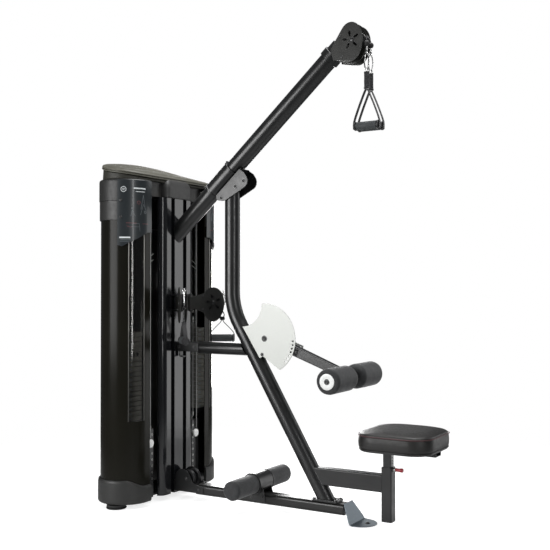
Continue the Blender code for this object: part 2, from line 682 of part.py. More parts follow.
def mid_place(name, solid):
    """Turn a mid pulley piece, built along +X from its pivot, to where it swivels at rest."""
    side = SIDES[name]
    pivot = (MID_PIVOT_X, side * MID_PIVOT_Y, 0)
    return shifted(shifted(solid, pivot), turn=MID_ANGLES[name], about=pivot)


def mid_point(name, reach, z):
    """A point at a reach from a mid pivot, along its housing."""
    side, angle = SIDES[name], MID_ANGLES[name]
    return Vector((MID_PIVOT_X + reach * cos(angle), side * MID_PIVOT_Y + reach * sin(angle), z))


def mid_housing():
    """Two cheek plates on a swivel barrel, built along +X from the pivot."""
    plates = []
    for low, high in ((-MID_CHEEK_Y - 0.0035, -MID_CHEEK_Y), (MID_CHEEK_Y, MID_CHEEK_Y + 0.0035)):
        body = prism(egg((MID_REACH, MID_Z), 0.0585, 0.080, 0.100), "y", low, high)
        tail = prism([(0.0, MID_Z - 0.033), (0.022, MID_Z - 0.033), (0.085, MID_Z - 0.060),
                      (0.085, MID_Z + 0.055), (0.022, MID_Z + 0.033), (0.0, MID_Z + 0.033)],
                     "y", low + 0.0001, high - 0.0001)
        plates.append(fuse(body, tail))
    block = box((-0.006, 0.050), (-MID_CHEEK_Y - 0.001, MID_CHEEK_Y + 0.001),
                (MID_Z - 0.034, MID_Z + 0.034))
    outer = MID_CHEEK_Y + 0.0035
    axle = rod((MID_REACH, -outer - 0.003, MID_Z), (MID_REACH, outer + 0.003, MID_Z), AXLE_R, 12)
    barrel = rod((0, 0, MID_Z - 0.0345), (0, 0, MID_Z + 0.0345), 0.0175, 16)
    bore = rod((0, 0, MID_Z - 0.1), (0, 0, MID_Z + 0.1), 0.0066, 12)
    return cut(fuse(block, *plates, barrel, axle), bore)


def swivel_brackets():
    """Back plate, two lugs and the pivot pin of each mid pulley, welded in a column groove."""
    brackets = []
    for side in SIDES.values():
        y = side * MID_PIVOT_Y
        back = box((GROOVE_X - 0.002, 0.104), (y - 0.0135, y + 0.0135), (MID_Z - 0.060, MID_Z + 0.060))
        lugs = [box((0.100, MID_PIVOT_X + 0.012), (y - 0.012, y + 0.012), (z, z + 0.008))
                for z in (MID_Z - 0.0435, MID_Z + 0.0355)]
        pin = rod((MID_PIVOT_X, y, MID_Z - 0.040), (MID_PIVOT_X, y, MID_Z + 0.040), AXLE_R, 12)
        brackets.append(fuse(back, *lugs, pin))
    return brackets


def mid_handle(name):
    """Snap hook, ring straps and grip hanging from a mid pulley."""
    start = mid_point(name, MID_DROP, 0)
    x, y = start.x, start.y
    hook = snap_hook(x, y, MID_HOOK_TOP, MID_RING_Z + 0.007)
    straps = stirrup(x, y, MID_RING_Z, MID_GRIP_Z, MID_RING_Z + 0.010)
    bar = rod((x - GRIP_HALF - 0.012, y, MID_GRIP_Z), (x + GRIP_HALF + 0.012, y, MID_GRIP_Z), 0.005, 8)
    return shifted(fuse(straps, hook, bar, handle_grip(x, y, MID_GRIP_Z)),
                   turn=MID_ANGLES[name], about=(x, y, 0))


def low_pulley_bracket():
    """Cheeks that hold the low wheels at the column's foot and clasp the rail's end."""
    outline = arc((0.172, LOW_Z), 0.047, radians(20), radians(200), 9)
    outline += [(COLUMN_FRONT + GAP, 0.085), (COLUMN_FRONT + GAP, 0.040), (0.300, 0.040), (0.300, 0.074),
                (0.235, 0.088)]
    plates = []
    for low, high in ((-LOW_CHEEK_Y - 0.003, -LOW_CHEEK_Y), (LOW_CHEEK_Y, LOW_CHEEK_Y + 0.003)):
        plates.append(prism(outline, "y", low, high))
    back = box((COLUMN_FRONT + GAP, 0.1222), (-LOW_CHEEK_Y - 0.001, LOW_CHEEK_Y + 0.001), (0.042, 0.095))
    axle = rod((LOW_X, -LOW_CHEEK_Y - 0.006, LOW_Z), (LOW_X, LOW_CHEEK_Y + 0.006, LOW_Z), AXLE_R, 12)
    return fuse(back, *plates, axle)


def low_pulley():
    """Double wheel: two grooves on one hub."""
    hub = washer((LOW_X, -0.020, LOW_Z), (0, 1, 0), BORE_R, 0.016, 0.040, 14)
    return fuse(hub, *[wheel(LOW_X, side * 0.0205, LOW_Z, LOW_R, 0.018) for side in SIDES.values()])


# ---- body supports ------------------------------------------------------------------------
def quadrant_outline():
    """Fan plate round the thigh pivot: outer arc, straight edges and a concave upper cut."""
    points = arc((0, 0), QUADRANT_R, radians(95), radians(-60), 16)
    points += [(-0.010, -0.086), (-0.027, -0.097), (-0.127, 0.056)]
    points += arc((-0.130, 0.170), 0.114, radians(-86), radians(-4), 7)
    return [(PIVOT_X + x, PIVOT_Z + z) for x, z in points]


def quadrant_plates():
    """Pair of drilled fan plates, the web that lies on the upright and the arm's pivot bolt."""
    lean = atan2(UPRIGHT_FOOT_X - UPRIGHT_X, BEND_Z - UPRIGHT_FOOT_Z)
    along, across = Vector((-sin(lean), cos(lean))), Vector((cos(lean), sin(lean)))
    reach = (PIVOT_X - UPRIGHT_X) * cos(lean) - (BEND_Z - PIVOT_Z) * sin(lean) - TUBE_R - GAP
    corners = [(-reach, -0.062), (-reach, 0.104), (-reach + 0.005, 0.104), (-reach + 0.005, -0.062)]
    web = prism([(PIVOT_X + across.x * a + along.x * t, PIVOT_Z + across.y * a + along.y * t)
                 for a, t in corners], "y", -QUADRANT_Y - 0.001, QUADRANT_Y + 0.001)
    outer = QUADRANT_Y + QUADRANT_T
    holes = []
    for i in range(7):
        a = radians(-3.0 - 6.4 * i)
        x, z = PIVOT_X + 0.159 * cos(a), PIVOT_Z + 0.159 * sin(a)
        holes.append(rod((x, -0.08, z), (x, 0.08, z), 0.0050, 6))
    plates = [cut(prism(quadrant_outline(), "y", low, high),
                  *[hole.copy() for hole in holes])
              for low, high in ((-outer, -QUADRANT_Y), (QUADRANT_Y, outer))]
    face = outer - 0.001
    bolt = turned((PIVOT_X, -face - 0.008, PIVOT_Z), (0, 1, 0),
                  [(0, 0.010), (0.002, 0.013), (0.008, 0.013), (0.0081, 0.0090),
                   (2 * face + 0.0079, 0.0090), (2 * face + 0.008, 0.013),
                   (2 * face + 0.014, 0.013), (2 * face + 0.016, 0.010)], 12)
    return fuse(web, *plates, bolt)


def thigh_arm():
    """Rectangular arm with its hub, and the capped axle of the thigh rollers."""
    pivot, roller = Vector((PIVOT_X, 0, PIVOT_Z)), Vector((THIGH_X, 0, THIGH_Z))
    along = (roller - pivot).normalized()
    up = Vector((-along.z, 0, along.x))
    corners = [pivot + up * 0.026, pivot - up * 0.026, roller - up * 0.020, roller + up * 0.020]
    arm = prism([(p.x, p.z) for p in corners], "y", -0.020, 0.020)
    hub = rod((PIVOT_X, -0.041, PIVOT_Z), (PIVOT_X, 0.041, PIVOT_Z), 0.026, 16)
    axle = rod((THIGH_X, -0.244, THIGH_Z), (THIGH_X, 0.244, THIGH_Z), 0.0125, 12)
    end = rod((THIGH_X, -0.028, THIGH_Z), (THIGH_X, 0.028, THIGH_Z), 0.030, 16)
    bore = rod((PIVOT_X, -0.1, PIVOT_Z), (PIVOT_X, 0.1, PIVOT_Z), 0.0094, 12)
    caps = [turned((THIGH_X, side * (THIGH_HALF + GAP), THIGH_Z), (0, side, 0),
                   [(0, 0.0365), (0.0025, 0.0365), (0.004, 0.034)], 20) for side in SIDES.values()]
    return cut(fuse(arm, hub, end, axle, *caps), bore)


def thigh_pad(side):
    """Foam roller with rounded shoulders, turning on the axle."""
    inner, length = 0.0129, THIGH_HALF - 0.0285
    profile = [(0, inner), (length, inner), (length, 0.048), (length - 0.005, 0.055),
               (length - 0.014, THIGH_R), (0.020, THIGH_R), (0.006, 0.053), (0, 0.044)]
    start = (THIGH_X, side * 0.0285, THIGH_Z)
    return collar(start, (0, side, 0), profile, 20)


def thigh_pin():
    """Hitch pin through a hole of the far plate, its tip against the arm."""
    a = radians(-3.0 - 6.4 * 3)
    x, z = PIVOT_X + 0.159 * cos(a), PIVOT_Z + 0.159 * sin(a)
    return turned((x, 0.0206, z), (0, 1, 0), [(0, 0.0040), (0.0258, 0.0040), (0.0260, 0.012),
                                              (0.048, 0.014), (0.052, 0.010)], 12)


def foot_roller():
    h = FOOT_HALF
    profile = [(-h, 0.036), (-h + 0.004, 0.043), (-h + 0.012, FOOT_R), (h - 0.012, FOOT_R),
               (h - 0.004, 0.043), (h, 0.036)]
    return turned((FOOT_X, 0, FOOT_Z), (0, 1, 0), profile, 20)


def foot_saddle():
    """Sleeve with a band at each end, on two cheeks that clasp the rail."""
    inner = FOOT_R + GAP
    profile = [(-0.066, inner), (0.066, inner), (0.066, 0.0530), (0.058, 0.0530), (0.057, 0.0500),
               (-0.057, 0.0500), (-0.058, 0.0530), (-0.066, 0.0530)]
    sleeve = collar((FOOT_X, 0, FOOT_Z), (0, 1, 0), profile, 20)
    cheeks = []
    outline = [(0.560, 0.150), (0.572, 0.045), (0.642, 0.045), (0.676, 0.062), (0.656, 0.120)]
    for low in (-RAIL_HALF - 0.0036, RAIL_HALF + 0.0006):
        cheeks.append(prism(outline, "y", low, low + 0.003))
    clearance = rod((FOOT_X, -0.1, FOOT_Z), (FOOT_X, 0.1, FOOT_Z), inner, 20)
    rail_room = box((0.500, 0.720), (-RAIL_HALF - GAP, RAIL_HALF + GAP), (RAIL_BOTTOM - 0.010, RAIL_TOP + GAP))
    return cut(fuse(sleeve, *cheeks), clearance, rail_room)


def seat_post():
    """Sliding post with the channel that carries the pad."""
    post = box((POST_X - INNER_HALF, POST_X + INNER_HALF), (-INNER_HALF, INNER_HALF),
               (INNER_BOTTOM, SEAT_BOTTOM - 0.010))
    channel = box((1.222, 1.538), (-0.032, 0.032), (SEAT_BOTTOM - 0.020, SEAT_BOTTOM - GAP))
    return fuse(post, channel)


def seat_pad():
    """Cushion with round plan corners and eased edges."""
    rings = []
    for inset, z in ((0.010, SEAT_BOTTOM), (0.002, SEAT_BOTTOM + 0.010), (0.0, SEAT_BOTTOM + 0.050),
                     (0.006, SEAT_TOP - 0.016), (0.022, SEAT_TOP - 0.005), (0.055, SEAT_TOP)):
        outline = rounded_rectangle(SEAT_LENGTH / 2 - inset, SEAT_WIDTH / 2 - inset,
                                    SEAT_CORNER - inset * 0.8, 5, (SEAT_X, 0))
        rings.append([(x, y, z) for x, y in outline])
    return loft(rings)


def seat_pin():
    start = POST_X + INNER_HALF + 0.0006
    return turned((start, 0, SEAT_PIN_Z), (1, 0, 0), [(0, 0.0060), (0.0182, 0.0060), (0.0184, 0.0088),
                                                      (0.049, 0.0095), (0.053, 0.007)], 12)


# ---- cables --------------------------------------------------------------------------------
def lift_cable(side):
    low = STACK_BOTTOM + (REST_PLATES + LIFTED_PLATES) * PLATE_PITCH + 0.030
    y = side * STACK_Y
    return rod((STACK_X, y, low), (STACK_X, y, HEAD_BEAM[0] - GAP), 0.0030, 8)


# ---- assembly -----------------------------------------------------------------------------
def main():
    for obj in list(bpy.data.objects):
        bpy.data.objects.remove(obj)
    tower_plane = bpy.data.objects.new("tower_plane", None)
    tower_plane.location = (TOWER_X, 0, 0)
    bpy.context.scene.collection.objects.link(tower_plane)

    make("tower_frame", tower_frame(), "black_steel")
    make("rear_panel", box((-0.138, -0.1345), (-0.2365, 0.2365), (0.030, 1.620)), "black_sheet")
    make("column", column(), "gloss_fascia", sharp=30)
    make("top_cover", top_cover(), "lid_plastic")
    make("low_pulley_bracket", low_pulley_bracket(), "black_steel")
    make("low_pulley", low_pulley(), "black_nylon", (LOW_X, 0, LOW_Z))

    for name, side in SIDES.items():
        y = side * STACK_Y
        make(f"foot_pad_{name}", foot_pad(side), "black_rubber")
        make(f"base_cap_{name}", base_cap(side), "grey_plastic")
        make(f"top_cap_{name}", top_cap(side), "grey_plastic")
        make(f"placard_{name}", placard(side), "placard")
        make(f"shroud_{name}", shroud(side), "smoked_acrylic")
        make(f"rest_plates_{name}", plates(side, 0, REST_PLATES), "black_steel")
        make(f"lifted_plates_{name}", lifted_plates(side), "black_steel", (STACK_X, y, STACK_BOTTOM))
        make(f"selector_pin_{name}", selector_pin(side), "chrome", (STACK_X, y, STACK_BOTTOM))
        make(f"lift_cable_{name}", lift_cable(side), "cable_coat", (STACK_X, y, HEAD_BEAM[0]))
        make(f"lock_knob_{name}", lock_knob(side), "white_plastic", (0.080, side * 0.195, KNOB_Z))

        wheel_y = side * WHEEL_Y
        make(f"top_pulley_{name}", wheel(WHEEL_X, wheel_y, HEAD_Z, WHEEL_R), "black_nylon",
             (WHEEL_X, wheel_y, HEAD_Z))
        make(f"pull_cable_{name}", pull_cable(side), "cable_coat", (PULL_X, wheel_y, 2.250))
        make(f"snap_hook_{name}", hook_set(side), "chrome", (PULL_X, wheel_y, STOP_Z))
        make(f"handle_strap_{name}", stirrup(PULL_X, wheel_y, RING_Z, GRIP_Z, HOOK_BOTTOM - 0.0004),
             "black_nylon", (PULL_X, wheel_y, HOOK_BOTTOM))
        make(f"handle_grip_{name}", handle_grip(PULL_X, wheel_y, GRIP_Z), "black_rubber",
             (PULL_X, wheel_y, GRIP_Z))

        pivot = (MID_PIVOT_X, side * MID_PIVOT_Y, MID_Z)
        make(f"mid_housing_{name}", mid_place(name, mid_housing()), "black_steel", pivot)
        make(f"mid_pulley_{name}", mid_place(name, wheel(MID_REACH, 0, MID_Z, MID_WHEEL_R)),
             "black_nylon", mid_point(name, MID_REACH, MID_Z))
        make(f"mid_handle_{name}", mid_handle(name), "black_nylon", mid_point(name, MID_DROP, MID_HOOK_TOP))

        make(f"thigh_pad_{name}", thigh_pad(side), "charcoal_foam", (THIGH_X, side * 0.135, THIGH_Z))

    make("base_rail", base_rail(), "black_steel")
    make("front_foot_plate", front_foot_plate(), "silver_plate")
    make("upright", upright(), "black_steel")
    make("mid_strut", mid_strut(), "black_steel")
    make("boom", boom(), "black_steel")
    make("boom_sleeve", boom_sleeve(), "black_steel")
    make("pulley_head", pulley_head(), "black_steel")
    make("seat_beam", seat_beam(), "black_steel")
    make("quadrant_plates", quadrant_plates(), "silver_plate")
    make("thigh_arm", thigh_arm(), "black_steel", (PIVOT_X, 0, PIVOT_Z))
    make("thigh_pin", thigh_pin(), "chrome", (PIVOT_X, 0.046, PIVOT_Z))
    make("foot_saddle", foot_saddle(), "black_steel")
    make("foot_roller", foot_roller(), "charcoal_foam")
    make("seat_post", seat_post(), "black_steel", (POST_X, 0, SEAT_BOTTOM))
    make("seat_pad", seat_pad(), "black_vinyl", (POST_X, 0, SEAT_BOTTOM))
    make("seat_pin", seat_pin(), "red_plastic", (POST_X + POST_HALF, 0, SEAT_PIN_Z))


main()
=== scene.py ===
"""Looks of the lat pulldown machine: detailed pieces, materials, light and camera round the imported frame.

Metres, +Z up. Pieces are laid out in the tower's own frame, where X starts at the tower's centre plane
and runs towards the seat, and piece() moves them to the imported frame. Left is -Y.
"""
from math import atan2, cos, pi, radians, sin, tau

import bmesh
import bpy
from mathutils import Matrix, Vector, noise


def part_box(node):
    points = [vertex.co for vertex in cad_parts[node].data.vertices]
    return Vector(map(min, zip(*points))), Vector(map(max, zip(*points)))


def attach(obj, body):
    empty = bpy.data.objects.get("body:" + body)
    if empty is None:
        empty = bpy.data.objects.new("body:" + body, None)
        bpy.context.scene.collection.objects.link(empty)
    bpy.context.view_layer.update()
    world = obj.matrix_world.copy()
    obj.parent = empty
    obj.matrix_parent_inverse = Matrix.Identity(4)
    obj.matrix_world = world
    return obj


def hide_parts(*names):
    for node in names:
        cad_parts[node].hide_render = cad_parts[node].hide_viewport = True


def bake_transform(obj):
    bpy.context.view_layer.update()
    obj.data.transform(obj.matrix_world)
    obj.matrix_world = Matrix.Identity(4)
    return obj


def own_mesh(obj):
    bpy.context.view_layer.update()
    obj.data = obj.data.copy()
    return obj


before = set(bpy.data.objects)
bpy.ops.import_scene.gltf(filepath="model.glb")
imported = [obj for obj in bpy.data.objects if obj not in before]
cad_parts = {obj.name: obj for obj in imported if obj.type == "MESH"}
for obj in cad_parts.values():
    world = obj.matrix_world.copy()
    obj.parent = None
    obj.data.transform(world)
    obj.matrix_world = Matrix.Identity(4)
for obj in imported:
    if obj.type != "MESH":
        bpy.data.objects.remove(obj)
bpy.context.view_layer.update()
SIDES = {"left": -1, "right": 1}


# ---- measures taken from the frame ---------------------------------------------------------
def middle(node):
    low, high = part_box(node)
    return (low + high) / 2


TOWER_X = middle("foot_pad_left").x


def limits(node):
    """A node's lowest and highest corners in the tower's frame."""
    low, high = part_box(node)
    return low - Vector((TOWER_X, 0, 0)), high - Vector((TOWER_X, 0, 0))


def centre(node):
    low, high = limits(node)
    return (low + high) / 2


SHROUD_LOW, SHROUD_HIGH = limits("shroud_right")
SHROUD_R = (SHROUD_HIGH.x - SHROUD_LOW.x) / 2
SHROUD_X = (SHROUD_HIGH.x + SHROUD_LOW.x) / 2
SHROUD_Y = SHROUD_HIGH.y - SHROUD_R
INNER_Y = SHROUD_LOW.y
SHROUD_T = 0.004
HEAD = Vector((1.133, 0, 2.237))              # middle of the pulley cheeks
WHEEL = centre("top_pulley_left")
WHEEL_Y = centre("top_pulley_right").y
PULL_X = centre("handle_grip_left").x
GRIP_Z = centre("handle_grip_left").z
THIGH = centre("thigh_pad_left")
THIGH_HALF, THIGH_R = 0.242, limits("thigh_pad_left")[1].z - THIGH.z
FOOT = centre("foot_roller")
FOOT_HALF, FOOT_R = limits("foot_roller")[1].y, limits("foot_roller")[1].z - FOOT.z
SEAT_LOW, SEAT_HIGH = limits("seat_pad")
SEAT = (SEAT_LOW + SEAT_HIGH) / 2
POST_X, POST_HALF = 1.299, 0.025
PIVOT = Vector((0.667, 0, 0.840))             # thigh arm pivot
TUBE_R, BOOM_R = 0.038, 0.043
BOOM_START, BOOM_ANGLE = Vector((0.119, 0, 1.384)), radians(41.8)
BOOM_ALONG = Vector((cos(BOOM_ANGLE), 0, sin(BOOM_ANGLE)))
BOOM_DOWN = Vector((sin(BOOM_ANGLE), 0, -cos(BOOM_ANGLE)))
UPRIGHT_X, BEND_Z, BEND_TANGENT = 0.451, 0.982, 0.090
FOOT_X, FOOT_Z = 0.982, 0.090                 # where the upright's axis meets the rail
UPRIGHT_FOOT = Vector((FOOT_X, 0, FOOT_Z))
LEAN = atan2(FOOT_X - UPRIGHT_X, BEND_Z - FOOT_Z)
LEAN_RUN = (FOOT_X - UPRIGHT_X) / (BEND_Z - FOOT_Z)
STRUT_Z, STRUT_R = 0.781, 0.031
RAIL_LOW, RAIL_HIGH = limits("base_rail")
MID_PIVOT_X, MID_PIVOT_Y, MID_Z, MID_REACH, MID_DROP = 0.155, 0.051, 1.010, 0.118, 0.166
MID_ANGLES = {"left": radians(-45), "right": radians(32)}
WALL_X = 0.1163                               # just inside the column's front face
CABLE_R, AXLE_R, BORE_R = 0.0026, 0.0062, 0.0066
STACK_X, STACK_Y = centre("rest_plates_left").x, centre("rest_plates_right").y
STACK_LOW = limits("rest_plates_left")[0].z
STACK_CABLE_TOP, STACK_TRAVEL = 1.5597, 0.42
FREE_CABLE_TOP, FREE_CABLE_END = 2.2340, 2.2285
PLATE_PITCH, PLATE_THICK, REST_PLATES, LIFTED_PLATES = 0.0245, 0.0225, 13, 5
LOW_WHEEL = centre("low_pulley")
KNOB_Y, KNOB_Z = centre("lock_knob_right").y, centre("lock_knob_right").z


def boom_point(distance, across=0.0):
    """A point so far along the boom's axis and so far above it."""
    return BOOM_START + BOOM_ALONG * distance - BOOM_DOWN * across


# ---- materials -----------------------------------------------------------------------------
def scaled(colour, share):
    return tuple(c * share for c in colour)


class Finish:
    """A Principled material with helpers for procedural detail in object coordinates."""

    def __init__(self, name, colour, roughness, metallic=0.0, **sockets):
        self.material = bpy.data.materials.new(name)
        self.material.use_nodes = True
        self.nodes = self.material.node_tree.nodes
        self.links = self.material.node_tree.links
        self.shader = self.nodes["Principled BSDF"]
        self.colour, self.roughness = colour, roughness
        self.set("Base Color", (*colour, 1.0))
        self.set("Roughness", roughness)
        self.set("Metallic", metallic)
        for socket, value in sockets.items():
            self.set(socket.replace("_", " "), value)
        self.space = self.nodes.new("ShaderNodeTexCoord").outputs["Object"]

    def set(self, socket, value):
        self.shader.inputs[socket].default_value = value

    def stretched(self, stretch):
        mapping = self.nodes.new("ShaderNodeMapping")
        mapping.inputs["Scale"].default_value = stretch
        self.links.new(self.space, mapping.inputs["Vector"])
        return mapping.outputs["Vector"]

    def noise(self, scale, detail=2.0, stretch=(1, 1, 1)):
        node = self.nodes.new("ShaderNodeTexNoise")
        node.inputs["Scale"].default_value = scale
        node.inputs["Detail"].default_value = detail
        self.links.new(self.stretched(stretch), node.inputs["Vector"])
        return node.outputs["Fac"]

    def cells(self, scale, feature="F1"):
        node = self.nodes.new("ShaderNodeTexVoronoi")
        node.feature = feature
        node.inputs["Scale"].default_value = scale
        self.links.new(self.space, node.inputs["Vector"])
        return node.outputs["Distance"]

    def waves(self, scale, direction):
        node = self.nodes.new("ShaderNodeTexWave")
        node.bands_direction = direction
        node.inputs["Scale"].default_value = scale
        self.links.new(self.space, node.inputs["Vector"])
        return node.outputs["Fac"]

    def along(self, axis, start, end):
        """0 to 1 between two places along an axis."""
        split = self.nodes.new("ShaderNodeSeparateXYZ")
        self.links.new(self.space, split.inputs[0])
        return self.remap(split.outputs[axis], start, end, 0.0, 1.0)

    def math(self, operation, a, b):
        node = self.nodes.new("ShaderNodeMath")
        node.operation = operation
        for index, value in enumerate((a, b)):
            if isinstance(value, (int, float)):
                node.inputs[index].default_value = value
            else:
                self.links.new(value, node.inputs[index])
        return node.outputs[0]

    def remap(self, factor, start, end, low, high):
        node = self.nodes.new("ShaderNodeMapRange")
        for socket, value in zip(("From Min", "From Max", "To Min", "To Max"), (start, end, low, high)):
            node.inputs[socket].default_value = value
        self.links.new(factor, node.inputs["Value"])
        return node.outputs["Result"]

    def tint(self, factor, other, start=0.3, end=0.7):
        """Blend from the colour so far to another by a factor."""
        node = self.nodes.new("ShaderNodeMix")
        node.data_type = "RGBA"
        self.links.new(self.remap(factor, start, end, 0.0, 1.0), node.inputs["Factor"])
        base = self.shader.inputs["Base Color"]
        if base.is_linked:
            self.links.new(base.links[0].from_socket, node.inputs["A"])
        else:
            node.inputs["A"].default_value = (*self.colour, 1.0)
        node.inputs["B"].default_value = (*other, 1.0)
        self.links.new(node.outputs["Result"], base)
        return self

    def rough(self, factor, low, high):
        self.links.new(self.remap(factor, 0.3, 0.7, low, high), self.shader.inputs["Roughness"])
        return self

    def bump(self, height, depth, strength=1.0):
        """Add relief of a depth in metres."""
        node = self.nodes.new("ShaderNodeBump")
        node.inputs["Strength"].default_value = strength
        node.inputs["Distance"].default_value = depth
        self.links.new(height, node.inputs["Height"])
        normal = self.shader.inputs["Normal"]
        if normal.is_linked:
            self.links.new(normal.links[0].from_socket, node.inputs["Normal"])
        self.links.new(node.outputs["Normal"], normal)
        return self


def powder_coat(name, colour, roughness=0.34):
    """Satin powder coat: orange peel, faint handling marks and slight colour drift."""
    f = Finish(name, colour, roughness, 0.0, Coat_Weight=0.25, Coat_Roughness=0.22)
    f.bump(f.noise(420, 3), 0.00010, 0.6)
    f.tint(f.noise(5, 3), scaled(colour, 1.5))
    return f.rough(f.noise(22, 5), roughness - 0.05, roughness + 0.07)


def moulded(name, colour, roughness, grain=900, depth=0.00012):
    """Textured plastic moulding."""
    f = Finish(name, colour, roughness)
    f.bump(f.cells(grain), depth, 0.8)
    f.tint(f.noise(7, 4), scaled(colour, 1.25))
    return f.rough(f.noise(60, 3), roughness - 0.06, roughness + 0.06)


def gloss(name, colour, roughness, **sockets):
    """Polished surface with wiping marks in its gloss."""
    f = Finish(name, colour, roughness, 0.0, **sockets)
    f.tint(f.noise(3, 2), scaled(colour, 1.3))
    f.rough(f.noise(9, 6, (1, 1, 0.25)), roughness - 0.02, roughness + 0.05)
    return f.bump(f.noise(2.2, 1), 0.0006, 0.4)


def brushed(name, colour, roughness, stretch, metallic):
    """Sheet metal brushed along the stretch, under a clear lacquer."""
    f = Finish(name, colour, roughness, metallic)
    lines = f.noise(260, 4, stretch)
    f.bump(lines, 0.00004, 0.7)
    f.tint(f.noise(160, 3, stretch), scaled(colour, 0.90))
    return f.rough(lines, roughness - 0.07, roughness + 0.08)


def metal(name, colour, roughness):
    """Bare or plated metal with slight handling marks."""
    f = Finish(name, colour, roughness, 1.0)
    f.tint(f.noise(30, 3), scaled(colour, 0.9))
    return f.rough(f.noise(45, 4), roughness - 0.03, roughness + 0.06)


def foam_skin():
    f = Finish("foam_skin", (0.020, 0.021, 0.0225), 0.68, 0.0, Sheen_Weight=0.25, Sheen_Roughness=0.5)
    f.bump(f.cells(420), 0.00030, 0.7)
    f.bump(f.noise(26, 4), 0.0008, 0.5)
    f.tint(f.noise(14, 5), (0.030, 0.031, 0.033))
    return f.rough(f.noise(90, 3), 0.62, 0.82)


def vinyl():
    """Upholstery vinyl with a pebbled grain and soft creases."""
    f = Finish("seat_vinyl", (0.0125, 0.0118, 0.0112), 0.42, 0.0, Coat_Weight=0.08, Coat_Roughness=0.3)
    f.bump(f.cells(520, "DISTANCE_TO_EDGE"), 0.00025, 0.8)
    f.bump(f.noise(34, 5), 0.0006, 0.5)
    f.tint(f.noise(11, 4), (0.019, 0.0178, 0.0165))
    return f.rough(f.noise(80, 4), 0.38, 0.56)


def webbing():
    """Woven nylon: ribs across and along."""
    f = Finish("webbing", (0.016, 0.016, 0.017), 0.78, 0.0, Sheen_Weight=0.3)
    weave = f.math("MULTIPLY", f.waves(320, "Z"), f.waves(320, "X"))
    f.bump(weave, 0.0005, 0.9)
    f.tint(weave, (0.035, 0.035, 0.038), 0.2, 0.9)
    return f.rough(f.noise(200, 2), 0.68, 0.86)


def rubber(name, colour):
    f = Finish(name, colour, 0.66)
    f.bump(f.noise(700, 3), 0.00015, 0.8)
    f.tint(f.noise(18, 4), scaled(colour, 1.5))
    return f.rough(f.noise(50, 3), 0.56, 0.74)


def smoked_window():
    """See-through smoked acrylic."""
    f = Finish("smoked_window", (0.50, 0.49, 0.46), 0.04, 0.0, Transmission_Weight=1.0, IOR=1.45)
    f.tint(f.noise(4, 2), (0.44, 0.43, 0.40))
    return f.rough(f.noise(12, 5), 0.03, 0.09)


def window_edge_highlight():
    """Painted highlight along the pane's cut edge, painted darker towards the floor."""
    f = Finish("window_edge_highlight", (0.16, 0.16, 0.15), 0.30, 0.3)
    return f.tint(f.along("Z", 0.55, 1.30), (0.62, 0.61, 0.57), 0.0, 1.0)


def cable_skin():
    f = Finish("cable_skin", (0.050, 0.050, 0.052), 0.32, 0.0, Coat_Weight=0.4)
    f.bump(f.waves(500, "DIAGONAL"), 0.0002, 0.5)
    return f.tint(f.noise(60, 2), (0.09, 0.09, 0.09))


BLACK = (0.0100, 0.0103, 0.0105)
LOOKS = {
    "black_steel": powder_coat("powder_black", BLACK),
    # Darker copy of the black powder coat for the floor rail: painted shade near the floor.
    "rail_steel_shaded": powder_coat("rail_black_shaded", (0.0048, 0.0048, 0.0044), 0.38),
    "gloss_fascia": gloss("fascia_gloss", (0.008, 0.0085, 0.0100), 0.15, Coat_Weight=0.3),
    "smoked_acrylic": gloss("smoked_acrylic", (0.0095, 0.0090, 0.0066), 0.20, Specular_IOR_Level=0.12),
    "smoked_window": smoked_window(),
    "window_edge_highlight": window_edge_highlight(),
    "black_sheet": powder_coat("sheet_black", (0.0220, 0.0220, 0.0200), 0.36),
    "lid_shadow": moulded("moulding_lid_shadow", (0.030, 0.029, 0.022), 0.50, 480, 0.00030),
    "grey_plastic": moulded("moulding_grey", (0.021, 0.021, 0.020), 0.46),
    "lid_plastic": moulded("moulding_lid", (0.110, 0.106, 0.084), 0.50, 480, 0.00030),
    "bulge_plastic": moulded("moulding_bulge", (0.045, 0.045, 0.044), 0.46, 900, 0.00012),
    "placard_plate": gloss("placard_slate", (0.022, 0.027, 0.030), 0.30, Coat_Weight=0.2),
    "silver_plate": brushed("brushed_silver", (0.69, 0.705, 0.67), 0.42, (1, 1, 22), 0.15),
    "foot_silver": brushed("foot_silver", (0.20, 0.235, 0.265), 0.42, (1, 14, 1), 0.7),
    "chrome": metal("chrome", (0.86, 0.86, 0.85), 0.12),
    "zinc": metal("zinc", (0.62, 0.62, 0.60), 0.30),
    "dark_bolt": metal("dark_bolt", (0.10, 0.10, 0.10), 0.35),
    "charcoal_foam": foam_skin(),
    "black_vinyl": vinyl(),
    "black_webbing": webbing(),
    "black_rubber": rubber("rubber_black", (0.018, 0.018, 0.018)),
    "grip_rubber": rubber("rubber_grip", (0.046, 0.050, 0.052)),
    "black_nylon": moulded("nylon_black", (0.020, 0.020, 0.021), 0.42, 1400, 0.00006),
    "red_plastic": moulded("pin_red", (0.33, 0.030, 0.040), 0.36, 1300, 0.00005),
    "cap_white": brushed("cap_white", (0.92, 0.925, 0.91), 0.40, (1, 1, 1), 0.15),
    "white_plastic": moulded("moulding_white", (0.88, 0.885, 0.87), 0.40, 1300, 0.00005),
    "piping": moulded("piping_red", (0.060, 0.022, 0.024), 0.44, 700, 0.00010),
    "print_white": moulded("print_white", (0.80, 0.84, 0.85), 0.45, 1500, 0.00002),
    "print_grey": moulded("print_grey", (0.16, 0.18, 0.19), 0.45, 1500, 0.00002),
    "print_red": moulded("print_red", (0.26, 0.085, 0.090), 0.45, 1500, 0.00002),
    "plate_paint": powder_coat("plate_paint", (0.15, 0.15, 0.135), 0.50),
    "cable_coat": cable_skin(),
    "cable_light": metal("cable_light", (0.50, 0.50, 0.49), 0.35),
}
# Looks of round and soft pieces, whose smooth shading stays as it is.
SOFT_LOOKS = {"cable_coat", "charcoal_foam", "black_vinyl", "black_webbing"}


